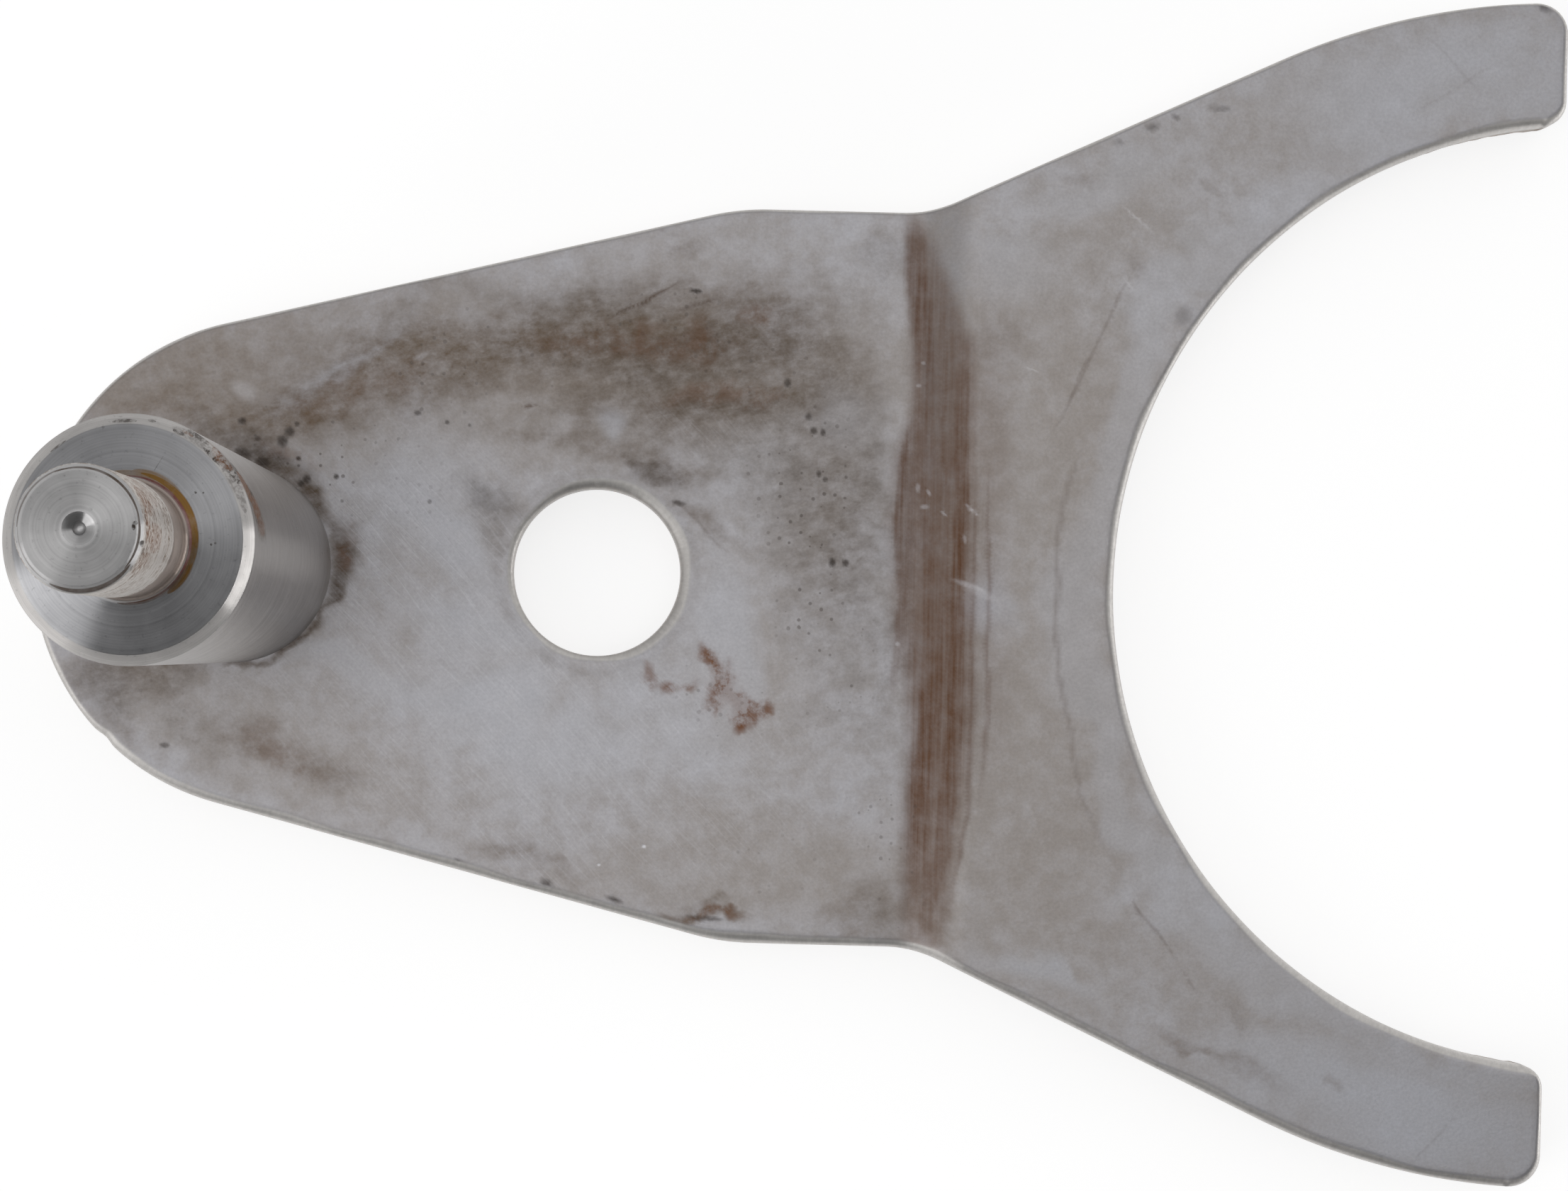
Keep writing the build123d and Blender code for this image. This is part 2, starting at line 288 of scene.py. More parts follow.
FINE_LINES = (
    (52, 35, 4.5, 0.2, 28, 0.8), (59, 34.4, 2.2, 0.2, 15, 0.6), (37.8, 20.9, 0.9, 0.18, 5, 0.8),
    (107.5, 26, 5.5, 0.3, 66, 0.3), (111.6, 35, 4.5, 0.25, 64, 0.25), (117, -41.4, 1.5, 0.2, -55, 0.35),
    (119.8, -44.8, 3.4, 0.2, -52, 0.3), (123.6, -50.4, 1.6, 0.2, -50, 0.25), (155, 65, 6, 0.16, 33, 0.12),
    (154, 68, 5, 0.16, -45, 0.12), (60, 6.2, 4.5, 0.2, -42, 0.25), (155, -70, 6, 0.14, 42, 0.15),
)
# Where the plate is dotted with dark specks, and where it has fine scratches
DOTTED_MARKS = (
    (75, 6, 6, 20, 4, 1.0), (25, 24, 16, 5, 20, 0.6), (7, 16, 8, 5, -30, 1.0), (56, 31, 16, 6, 0, 0.6),
    (22, 10, 10, 6, 0, 0.3), (84, -34, 4, 12, 0, 0.6), (70, -36, 8, 6, 0, 0.3), (-10, 20, 14, 10, 20, 0.2),
    (62, -16, 5, 5, 0, 0.5), (-10, -16, 10, 8, 0, 0.3),
)
SCRATCHED_MARKS = (
    (28, -4, 26, 18, -30, 1.0), (40, -26, 30, 12, -14, 0.9), (60, 18, 8, 5, 0, 0.5),
    (62, -24, 14, 10, 0, 0.5),
)
FINE_MARKS = SPECK_MARKS + NICK_MARKS + FINE_LINES
# How marks are pushed about by clouds, each (size, reach), and how many values a side their lattice has
LATTICE = 64
WANDERS = {
    "broad": ((13.0, 4.0), (5.0, 1.8), (2.0, 0.8)), "close": ((8.0, 1.3), (2.5, 0.8), (1.1, 0.5)),
    "slight": ((9.0, 0.5), (2.5, 0.2)), "ring": ((2.0, 0.35), (0.9, 0.2)), "none": (),
}
# Each kind of stain: its marks, how they wander, and the share of its size over which a mark fades
STAINS = {
    "warm": (WARM_MARKS, "broad", 0.8), "dull": (DULL_MARKS, "broad", 0.8),
    "pale": (PALE_MARKS, "broad", 0.7), "film": (FILM_MARKS, "close", 0.75),
    "grime": (GRIME_MARKS, "close", 0.75), "rust": (RUST_MARKS, "close", 0.7),
    "speck": (SPECK_MARKS, "none", 0.45), "nick": (NICK_MARKS, "none", 0.5),
    "line": (FINE_LINES, "slight", 0.5), "dotted": (DOTTED_MARKS, "broad", 0.6),
    "scratched": (SCRATCHED_MARKS, "broad", 0.6),
}
# A dull ring round the hole and a pale one round the mouth: share, radius and half width
DULL_RING, PALE_RING = (0.22, 12.7, 0.6), (0.3, 64, 3.0)
# The share over which the dirt and painted contact shadow round the foot fade, and how far down the cut edge
# stains end
RING_FADE, STAIN_DEPTH = 0.6, 0.7

# How far the left and right edges of the joggle's brown band fade, then the band itself, each (y, left
# edge, right edge, share of film)
JOGGLE_FADES = (3.2, 2.6)
JOGGLE_BAND = (
    (-50, 86.5, 88.5, 0.0), (-46, 86.6, 91.5, 0.3), (-41, 86.8, 92.6, 0.42), (-34, 87.0, 93.8, 0.5),
    (-24, 87.3, 94.4, 0.58), (-14, 86.4, 94.6, 0.58), (-7, 85.2, 94.4, 0.55), (0, 84.6, 94.4, 0.52),
    (8, 84.2, 94.2, 0.52), (15, 84.8, 94.0, 0.54), (22, 86.8, 94.2, 0.5), (30, 86.6, 94.0, 0.48),
    (36, 86.0, 91.2, 0.45), (42, 85.4, 89.2, 0.4), (48, 85.2, 86.4, 0.0),
)
# Darker lines in it, each a half width and places (y, x, share)
JOGGLE_LINES = (
    (1.3, (
        (12, 88.6, 0), (17, 88.4, 0.2), (22, 88.1, 0.3), (28, 87.9, 0.45), (34, 87.2, 0.55),
        (39, 86.6, 0.55), (44, 86.0, 0.4), (47, 85.6, 0))),
    (1.4, (
        (-42, 88.8, 0), (-37, 89.2, 0.25), (-33, 88.9, 0.4), (-28, 88.8, 0.55), (-23, 89.0, 0.6),
        (-15, 89.5, 0.5), (-5, 89.6, 0.35), (4, 89.6, 0.3), (10, 89.0, 0.2), (18, 89.0, 0))),
    (0.7, (
        (-46, 89.0, 0), (-41, 90.1, 0.3), (-36, 91.3, 0.35), (-31, 92.0, 0.4), (-24, 92.2, 0.55),
        (-15, 92.1, 0.6), (-9, 92.1, 0.55), (1, 92.4, 0.6), (6, 92.5, 0.6), (12, 92.7, 0.5),
        (21, 92.7, 0.35), (28, 92.2, 0))),
    (0.3, (
        (-46, 88.9, 0), (-41, 91.0, 0.2), (-36, 92.4, 0.25), (-28, 93.2, 0.3), (-15, 93.2, 0.35),
        (0, 93.3, 0.4), (12, 93.5, 0.35), (24, 93.4, 0.3), (32, 92.8, 0))),
    (0.3, (
        (-44, 92.0, 0), (-37, 93.8, 0.25), (-30, 95.0, 0.3), (-23, 94.8, 0.35), (-15, 94.6, 0.35),
        (-4, 94.6, 0.25), (8, 94.6, 0.2), (20, 94.5, 0))),
    (0.3, (
        (-30, 96.4, 0), (-18, 96.7, 0.25), (-9, 96.9, 0.3), (0, 96.8, 0.3), (8, 96.4, 0.25), (16, 96.2, 0))),
    (0.2, (
        (-12, 91.0, 0), (0, 91.3, 0.2), (12, 91.0, 0.25), (28, 90.6, 0.25), (36, 90.2, 0))),
    (0.45, (
        (-16, 84.7, 0), (-12, 84.8, 0.2), (-7, 85.4, 0.3), (-2, 85.5, 0.4), (1, 85.3, 0.45), (5, 84.9, 0.4),
        (8, 84.8, 0.4), (14, 85.3, 0.45), (18, 86.3, 0.35), (21, 86.9, 0))),
)
# A thin haze past the band: its share, then where it starts and ends and how far from its middle it
# reaches, each with how far that fades
JOGGLE_HAZE, HAZE_START, HAZE_END, HAZE_REACH, HAZE_MIDDLE = 0.17, (92, 3), (102, 7), (36, 20), 4
# A worn line round the mouth at a steady distance: centre, radius and half width, then each (y, share)
WEAR_CENTRE, WEAR_RADIUS, WEAR_HALF_WIDTH = (176.5, -2), 71.3, 0.3
WEAR_ARC = ((-38, 0), (-28, 0.2), (-10, 0.3), (2, 0.3), (12, 0.25), (19, 0))

# The pin's faces, each from and to a place along its profile, where a place is height less radius plus
# the barrel's radius, in millimetres, and how far each side of such a place one fades into the next
PIN_FACES = {"barrel": (-20.0, 120.8), "chamfer": (120.8, 123.0), "step": (123.0, 128.2),
             "neck": (128.5, 141.0), "land": (141.2, 166.0), "end": (167.3, 171.0)}
FACE_FADE = 0.15
# Marks on the turned pin, each (azimuth, place, half azimuth, half length, turn, strength), with azimuths
# in degrees from +X
VARNISH_RINGS = (
    (20, 127.85, 60, 0.38, 0, 0.95), (62, 127.8, 26, 0.5, 0, 0.6), (-30, 127.9, 22, 0.4, 0, 0.8),
    (100, 128.0, 30, 0.35, 0, 0.6), (150, 128.0, 40, 0.25, 0, 0.3),
)
VIOLET_RINGS = ((10, 128.3, 100, 0.16, 0, 0.85), (35, 128.5, 40, 0.12, 0, 0.6))
PIN_GRIME = (
    (3, 167.6, 3.5, 0.16, 0, 1.0), (7, 167.35, 2, 0.3, 0, 0.9), (36, 126.33, 0.9, 0.12, 0, 1.0),
    (33, 125.7, 0.6, 0.1, 0, 0.8), (69, 126.4, 1.4, 0.14, 40, 0.8), (-2, 126.2, 0.8, 0.12, 0, 0.9),
    (-1, 125.8, 0.8, 0.12, 0, 0.8), (93, 122.4, 6, 0.4, 0, 0.7), (80, 121.9, 2, 0.3, 0, 0.6),
    (66, 122.4, 3, 0.5, 0, 0.7), (46, 122.4, 6, 0.5, 0, 0.9), (36, 121.2, 8, 1.1, 0, 0.85),
    (32, 118.0, 8, 2.6, 0, 0.9), (22, 115.5, 7, 4.0, 0, 0.95), (13, 113.5, 6, 5.0, 0, 0.9),
    (30, 122.0, 16, 0.9, 0, 0.45), (58, 122.0, 12, 0.9, 0, 0.35), (57, 121.2, 6, 0.6, 0, 0.7),
    (42, 119.4, 7, 1.6, 0, 0.6), (6, 112.0, 4, 5.0, 0, 0.5), (-12, 166.0, 3, 0.5, 0, 0.7),
    (-18, 164.9, 3, 0.8, 0, 0.5), (128, 122.9, 5, 0.2, 0, 0.6), (10, 164.8, 6, 1.0, 0, 0.5),
    (-35, 165.4, 5, 0.6, 0, 0.5),
)
# Brown rings, partly dirt and partly painted light: round the thin end's corner, strongest where its chamfer
# reflects the room's dark sides, so partly painted reflection; and in the neck's corner on its lower side,
# the golden ring painted dark brown as painted shade
BROWN_AND_SHADED_RINGS = (
    (60, 166.75, 55, 0.22, 0, 0.85), (-10, 166.8, 30, 0.2, 0, 0.8), (-75, 166.5, 42, 0.4, 0, 0.8),
    # The marks at 128.2 and 128.0 are painted shade on the golden ring's lower side
    (145, 166.6, 40, 0.2, 0, 0.6), (-150, 166.7, 30, 0.15, 0, 0.3), (-62, 128.2, 36, 0.2, 0, 0.7),
    (-40, 128.0, 20, 0.15, 0, 0.5),
)
PIN_RUST = (
    (27, 117.5, 8, 3.0, 0, 1.0), (17, 114.0, 6, 4.0, 0, 0.95), (62, 121.8, 3, 0.3, 0, 0.5),
    (42, 121.0, 7, 1.4, 0, 0.7), (9, 112.0, 5, 4.0, 0, 0.6), (5, 163.5, 14, 1.8, 0, 0.6),
    (30, 160.0, 16, 4.0, 0, 0.55), (-5, 157.0, 14, 5.0, 0, 0.5), (45, 152.0, 20, 4.0, 0, 0.4),
    (-30, 160.0, 12, 5.0, 0, 0.35), (50, 120.0, 6, 1.0, 0, 0.4),
)


def smooth(value):
    """Smoothstep of a share: 3 v^2 - 2 v^3 between 0 and 1."""
    value = np.clip(value, 0, 1)
    return value * value * (3 - 2 * value)


def clouds(places, size, seed):
    """Smooth random values from -1 to 1: those of a lattice `size` apart, blended by smoothstep."""
    lattice = np.random.default_rng(seed).uniform(-1, 1, (LATTICE, LATTICE))
    cell = np.floor(places / size).astype(int)
    part = smooth(places / size - cell)
    (i, j), (u, v) = cell.T % LATTICE, part.T
    after_i, after_j = (i + 1) % LATTICE, (j + 1) % LATTICE
    near = lattice[i, j] * (1 - u) + lattice[after_i, j] * u
    far = lattice[i, after_j] * (1 - u) + lattice[after_i, after_j] * u
    return near * (1 - v) + far * v


def wandered(places, pushes):
    """Places pushed about by clouds of each size, by up to its reach."""
    for size, reach in pushes:
        shift = [clouds(places, size, round(10 * size) + axis) for axis in (0, 1)]
        places = places + reach * np.stack(shift, 1)
    return places


def stained(places, marks, softness):
    """Share of a stain: 1 - the product of (1 - each mark), where a mark is an ellipse that fades by
    smoothstep from (1 - softness) to (1 + softness) of its size."""
    clear = np.ones(len(places))
    for x, y, half_length, half_width, turn, strength in marks:
        across, up = (places - (x, y)).T
        c, s = cos(radians(turn)), sin(radians(turn))
        out = np.hypot((across * c + up * s) / half_length, (up * c - across * s) / half_width)
        clear *= 1 - strength * smooth((1 + softness - out) / (2 * softness))
    return 1 - clear


def joggle_stain(places):
    """Share of dark film across the joggle: a brown band between two edges, with darker lines in it.

    A line's share falls by smoothstep with the distance from its path, over its half width each side.
    """
    x, y = places.T
    at, *rows = np.array(JOGGLE_BAND).T
    left, right, share = (np.interp(y, at, values) for values in rows)
    fade_left, fade_right = JOGGLE_FADES
    clear = 1 - share * smooth((x - left) / fade_left + 0.5) * smooth((right - x) / fade_right + 0.5)
    for half_width, path in JOGGLE_LINES:
        at, centre, share = np.array(path).T
        off = abs(x - np.interp(y, at, centre)) / half_width
        clear *= 1 - np.interp(y, at, share) * smooth(1.5 - off)
    past = smooth((x - HAZE_START[0]) / HAZE_START[1])
    before = smooth((HAZE_END[0] - x) / HAZE_END[1])
    near = smooth((HAZE_REACH[0] - abs(y - HAZE_MIDDLE)) / HAZE_REACH[1])
    return 1 - clear * (1 - JOGGLE_HAZE * past * before * near)


def wear_arc(places):
    """Share of a thin worn line, an arc round a place just past the mouth's centre."""
    x, y = places.T
    off = abs(np.hypot(x - WEAR_CENTRE[0], y - WEAR_CENTRE[1]) - WEAR_RADIUS) / WEAR_HALF_WIDTH
    return np.interp(y, *np.array(WEAR_ARC).T) * smooth(1.5 - off) * (x < WEAR_CENTRE[0])


def band(places, centre_x, share, radius, half_width):
    """A soft band along a circle: smoothstep of 1.5 less the distance from it in half widths."""
    off = abs(np.hypot(places[:, 0] - centre_x, places[:, 1]) - radius) / half_width
    return share * smooth(1.5 - off)


def on_ring(marks):
    """Marks laid along rings round the pin, as plain marks: x = r cos a, y = r sin a, turned to a + 90."""
    return [(radius * cos(radians(azimuth)), radius * sin(radians(azimuth)), half_length, half_width,
             azimuth + 90, strength) for azimuth, radius, half_length, half_width, strength in marks]


def plate_stains(places, down_mm):
    """What lies on the plate's front face, as shares from 0 to 1. The sides and the back are bare."""
    front = np.clip(1 - down_mm / STAIN_DEPTH, 0, 1)
    at = {name: wandered(places, pushes) for name, pushes in WANDERS.items()}
    shares = {name: stained(at[wander], marks, fade) for name, (marks, wander, fade) in STAINS.items()}
    # The dirt and the painted contact shadow round the foot are film, and grime where they are thick
    ring = stained(at["ring"], on_ring(FOOT_DIRT_AND_SHADOW_MARKS), RING_FADE)
    for name, share in (("dull", band(at["slight"], HOLE_X / MM, *DULL_RING)),
                        ("pale", band(at["broad"], MOUTH_X / MM, *PALE_RING)),
                        ("film", ring), ("grime", 0.5 * ring ** 2), ("line", wear_arc(at["slight"]))):
        shares[name] = np.maximum(shares[name], share)
    shares["joggle"] = joggle_stain(at["slight"])
    return {name: share * front for name, share in shares.items()}


# Shapes

# Width of the flat ring that joins a cut edge to a face, the steps along the edges and the pin's profile,
# and the number of steps round the pin
EDGE_RING, EDGE_STEP, PIN_STEP, PIN_TURNS = 0.0021, 0.0006, 0.0012, 256
# Spacing of the places on the front and the back face, how far past the joggle they are closer, and how
# far they keep from an edge, as a share of their spacing
FRONT_SPACING, BACK_SPACING, BEND_MARGINS, KEPT_OFF = 0.00052, 0.002, (0.0045, 0.0035), 0.45
# Places over a fine mark: rows, columns for each millimetre, and how many half lengths and half widths
# they reach from its middle
MARK_ROWS, MARK_COLUMNS_PER_MM, MARK_REACHES = 5, 2.6, (1.4, 1.5)
# Places closer than this become one, and so many are worked on at once
WELD, AT_ONCE = 2e-6, 2000
# A dent in the tail's edge: place, depth and reach
NOTCH, NOTCH_DEPTH, NOTCH_REACH = (-0.0152, -0.0222), 0.0006, 0.0011
# A rolled rim's depth as a share of its width, what the outline's has on top, the same share for the
# hole's, and the power by which it widens towards the lower side
ROLL_DEPTH, ROLL_DEPTH_MORE, HOLE_ROLL_DEPTH, ROLL_POWER = 0.65, 0.12 * MM, 0.6, 1.5
# The share of the wall's depth where it starts to be torn, and the power by which it then draws in
TEAR_START, TEAR_POWER = 0.42, 1.4
# How unevenly the rolled rims and torn bands run: height, whole counts round the path, and seed
ROLL_WAVE, TORN_WAVE = (0.13, (9, 17, 31, 53), 3), (0.35, (37, 71, 127, 211, 307), 5)
HOLE_ROLL_WAVE, HOLE_TORN_WAVE = (0.1, (3, 5, 8), 7), (0.3, (7, 13, 22), 8)
# The hole's roll is wider on one side: by how much, and towards which bearing
HOLE_LEAN, HOLE_LEAN_BEARING = 0.3, 38


def wave(t, period, height, counts, seed):
    """A smooth closed wander of about a height: a sum of sines of t with whole counts per period."""
    phase = np.random.default_rng(seed).uniform(0, 2 * pi, len(counts))
    angle = 2 * pi * np.multiply.outer(t / period, np.array(counts)) + phase
    return height * (np.sin(angle).sum(-1) / np.sqrt(len(counts)))


def travelled(points):
    """Distance travelled to each point of a closed path, and its whole length."""
    step = np.hypot(*(np.roll(points, -1, 0) - points).T)
    return np.concatenate([[0], np.cumsum(step)[:-1]]), step.sum()


def tangent_heading(a, b):
    """Heading of the line that leaves oriented circle a and joins oriented circle b.

    It is the direction from a to b, less the angle whose sine is (rb - ra) / distance.
    """
    reach = b[:2] - a[:2]
    sine = (b[2] - a[2]) / np.hypot(*reach)
    return np.arctan2(reach[1], reach[0]) - np.arcsin(np.clip(sine, -1, 1))


def path_round(circles, step):
    """Points and outward normals of a closed path round oriented circles (x, y, r) and their tangents.

    A circle is followed counter-clockwise where r > 0 and clockwise where r < 0. At heading h the point
    is centre + r (sin h, -cos h), and the normal (sin h, -cos h) points out of the metal on the left.
    """
    count = len(circles)
    leave = [tangent_heading(circles[k], circles[(k + 1) % count]) for k in range(count)]
    points, normals = [], []
    for k, circle in enumerate(circles):
        sense = np.sign(circle[2])
        sweep = sense * ((sense * (leave[k] - leave[k - 1])) % (2 * pi))
        heading = leave[k - 1] + np.linspace(0, sweep, max(3, int(np.ceil(abs(circle[2] * sweep) / step))))
        normal = np.stack([np.sin(heading), -np.cos(heading)], 1)
        arc = circle[:2] + circle[2] * normal
        following = circles[(k + 1) % count]
        run = following[:2] + following[2] * normal[-1] - arc[-1]
        steps = int(np.ceil(np.hypot(*run) / step))
        along = np.linspace(0, 1, steps + 1)[1:-1, None]
        kept = len(arc) if steps else len(arc) - 1
        points += [arc[:kept], arc[-1] + along * run]
        normals += [normal[:kept], np.repeat(normal[-1:], len(along), 0)]
    return np.concatenate(points), np.concatenate(normals)


def hole_path(x, radius, step):
    """Points and normals of a round hole's edge, followed clockwise, with the normals to its centre."""
    heading = -np.linspace(0, 2 * pi, int(np.ceil(2 * pi * radius / step)), endpoint=False)
    normal = np.stack([np.sin(heading), -np.cos(heading)], 1)
    return np.array([x, 0.0]) - radius * normal, normal


def outline_circles(plate):
    """The oriented circles whose common tangents are the plate's straight sides, from the tail round."""
    back_y = plate.tip_half_span - plate.prong_back_radius
    waist = plate.waist_half_width
    tail = np.array([plate.tail_centre_x, 0.0, plate.tail_radius])
    back = np.array([TIP_X, back_y, plate.prong_back_radius])
    # The slopes of the tapered side and of the prong follow from the waist's corners
    reach = np.array([plate.waist_start_x, waist]) - tail[:2]
    taper = np.arctan2(reach[1], reach[0]) - np.arcsin(tail[2] / np.hypot(*reach))
    reach = back[:2] - np.array([plate.waist_end_x, waist])
    spread = np.arctan2(reach[1], reach[0]) + np.arcsin(back[2] / np.hypot(*reach))
    shoulder = np.array([plate.waist_start_x + plate.shoulder_radius * np.tan(taper / 2),
                         waist - plate.shoulder_radius, plate.shoulder_radius])
    armpit = np.array([plate.waist_end_x - plate.armpit_radius * np.tan(spread / 2),
                       waist + plate.armpit_radius, -plate.armpit_radius])
    outer_rise = np.sqrt((back[2] - plate.tip_outer_radius) ** 2 - plate.tip_outer_radius ** 2)
    outer = np.array([TIP_X - plate.tip_outer_radius, back_y + outer_rise, plate.tip_outer_radius])
    inner_x = TIP_X - plate.tip_inner_radius
    inner_y = np.sqrt((MOUTH_R + plate.tip_inner_radius) ** 2 - (MOUTH_X - inner_x) ** 2)
    inner = np.array([inner_x, inner_y, plate.tip_inner_radius])
    upper = [inner, outer, back, armpit, shoulder]
    lower = [circle * (1, -1, 1) for circle in reversed(upper)]
    return [tail] + lower + [np.array([MOUTH_X, 0.0, -MOUTH_R])] + upper


def joggle_lift(x, share, plate):
    """How far the joggle lifts metal at x, at that share of the thickness from the back face.

    Each face is two arcs joined by the slope. About the bends' common centres the back face has radii
    (bend + thickness, bend) and the front face (bend, bend + thickness).
    """
    slope = atan(plate.joggle_rise / plate.joggle_run)
    wide = plate.bend_radius + plate.thickness
    first_x = plate.joggle_start_x - wide * np.tan(slope / 2)
    last_x = plate.joggle_start_x + plate.joggle_run + plate.bend_radius * np.tan(slope / 2)
    angle = np.linspace(0, slope, 9)
    lifts = []
    for first, last in ((wide, plate.bend_radius), (plate.bend_radius, wide)):
        at = np.concatenate([first_x + first * np.sin(angle), last_x - last * np.sin(angle[::-1])])
        lift = np.concatenate([first * (1 - np.cos(angle)),
                               plate.joggle_rise - last * (1 - np.cos(angle[::-1]))])
        lifts.append(np.interp(x, at, lift))
    return lifts[0] * (1 - share) + lifts[1] * share


def cut_edge_section(roll_width, roll_drop, torn, plate):
    """Section of a blanked edge at each point of a path: distance in from the edge, and depth.

    It starts a ring's width in from the edge on the front face, falls over a quarter ellipse with half
    axes roll_width and roll_drop, runs down the sheared band, draws in by `torn` over the torn band,
    rounds the back corner and ends a ring's width in on the back face.
    """
    width, drop, torn = roll_width[:, None], roll_drop[:, None], torn[:, None]
    level = np.zeros_like(width)
    turn = np.linspace(0, pi / 2, 9)
    fall = np.linspace(0, 1, 12)[1:]
    corner = np.linspace(0, pi / 2, 4)[1:]
    wall_end = plate.thickness - plate.back_corner
    tear = np.clip((fall - TEAR_START) / (1 - TEAR_START), 0, 1) ** TEAR_POWER
    inward = np.concatenate([level + EDGE_RING, (EDGE_RING + width) / 2, width * (1 - np.sin(turn)),
                             torn * tear, torn + plate.back_corner * (1 - np.cos(corner)),
                             level + EDGE_RING], 1)
    depth = np.concatenate([level, level, drop * (1 - np.cos(turn)), drop * (1 - fall) + wall_end * fall,
                            level + wall_end + plate.back_corner * np.sin(corner),
                            level + plate.thickness], 1)
    return inward, depth


def carried(points, normals, inward, depth, plate):
    """A section carried along a closed path, and its first and last edges seen from above.

    Place = point - inward * normal, at the front face less the depth. The surface is its places, its
    quads and three measures in millimetres: in from the edge, down from the front face, along the path.
    """
    rows, columns = inward.shape
    flat = points[:, None, :] - inward[..., None] * normals[:, None, :]
    height = plate.thickness - depth
    lifted = height + joggle_lift(flat[..., 0], height / plate.thickness, plate)
    co = np.concatenate([flat, lifted[..., None]], 2).reshape(-1, 3)
    row = np.arange(rows)[:, None] * columns
    following = (np.arange(rows)[:, None] + 1) % rows * columns
    across = np.arange(columns - 1)
    quads = np.stack([row + across, row + across + 1, following + across + 1, following + across], 2)
    along = np.repeat(travelled(points)[0], columns)
    measures = {"in_mm": inward.ravel() / MM, "down_mm": depth.ravel() / MM, "along_mm": along / MM}
    return (co, quads.reshape(-1, 4), measures), flat[:, 0], flat[:, -1]


def inside(points, loops):
    """Whether points lie inside an odd number of closed loops, by counting crossings to the right."""
    odd = np.zeros(len(points), bool)
    for loop in loops:
        a, b = loop, np.roll(loop, -1, 0)
        rise = np.where(a[:, 1] == b[:, 1], 1.0, b[:, 1] - a[:, 1])
        for part in np.array_split(np.arange(len(points)), max(1, len(points) // AT_ONCE)):
            y = points[part, 1, None]
            spans = (a[:, 1] > y) != (b[:, 1] > y)
            at = a[:, 0] + (y - a[:, 1]) / rise * (b[:, 0] - a[:, 0])
            odd[part] ^= (spans & (points[part, 0, None] < at)).sum(1) % 2 == 1
    return odd


def nearest(points, path):
    """Distance from each point to the closest point of a path."""
    parts = np.array_split(points, max(1, len(points) // AT_ONCE))
    return np.concatenate([np.sqrt(((part[:, None] - path) ** 2).sum(2).min(1)) for part in parts])


def mark_grid(mark):
    """Places laid over one fine mark in rows along it, so that the mesh is fine enough to show it."""
    x, y, half_length, half_width, turn, _ = mark
    columns = max(MARK_ROWS, int(2 * half_length * MARK_COLUMNS_PER_MM))
    along, across = (half * np.linspace(-reach, reach, count) for half, reach, count in zip(
        (half_length, half_width), MARK_REACHES, (columns, MARK_ROWS)))
    along, across = np.meshgrid(along, across)
    c, s = cos(radians(turn)), sin(radians(turn))
    return np.stack([x + along * c - across * s, y + along * s + across * c], 2).reshape(-1, 2) * MM


def filled_face(loops, spacing, plate, marks=()):
    """Triangles that fill a face between its loops, over a staggered grid.

    The grid is closer at the joggle, and there are more places over each fine mark.
    """
    low, high = loops[0].min(0), loops[0].max(0)
    start = plate.joggle_start_x - BEND_MARGINS[0]
    end = plate.joggle_start_x + plate.joggle_run + BEND_MARGINS[1]
    stretches = ((low[0], start, spacing), (start, end, spacing / 2), (end, high[0], spacing))
    columns = np.concatenate([np.arange(*stretch) for stretch in stretches])
    grid_x, grid_y = np.meshgrid(columns, np.arange(low[1], high[1], spacing), indexing="ij")
    grid_y = grid_y + (np.arange(len(columns)) % 2)[:, None] * spacing / 2
    grid = np.stack([grid_x.ravel(), grid_y.ravel()], 1)
    grid = np.concatenate([grid] + [mark_grid(mark) for mark in marks])
    grid = grid[inside(grid, loops)]
    grid = grid[nearest(grid, np.concatenate(loops)) > spacing * KEPT_OFF]
    ends = np.cumsum([len(loop) for loop in loops])
    here = np.arange(ends[-1])
    following = here + 1
    following[ends - 1] = ends - [len(loop) for loop in loops]
    flat = np.concatenate(loops + [grid]) / MM
    edges = np.stack([here, following], 1).tolist()
    out = delaunay_2d_cdt([Vector(p) for p in flat.tolist()], edges, [], 0, 1e-6)
    places = np.array([tuple(v) for v in out[0]]) * MM
    triangles = np.array(out[2])
    return places, triangles[inside(places[triangles].mean(1), loops)]


def welded(surfaces):
    """Surfaces as one: places that round to the same lattice place become one, with its first measures."""
    offset = np.cumsum([0] + [len(surface[0]) for surface in surfaces])
    co = np.concatenate([surface[0] for surface in surfaces])
    measures = {name: np.concatenate([surface[2][name] for surface in surfaces])
                for name in surfaces[0][2]}
    _, first, one = np.unique(np.round(co / WELD), axis=0, return_index=True, return_inverse=True)
    faces = []
    for surface, start in zip(surfaces, offset):
        faces += one.ravel()[surface[1] + start].tolist()
    return co[first], faces, {name: values[first] for name, values in measures.items()}


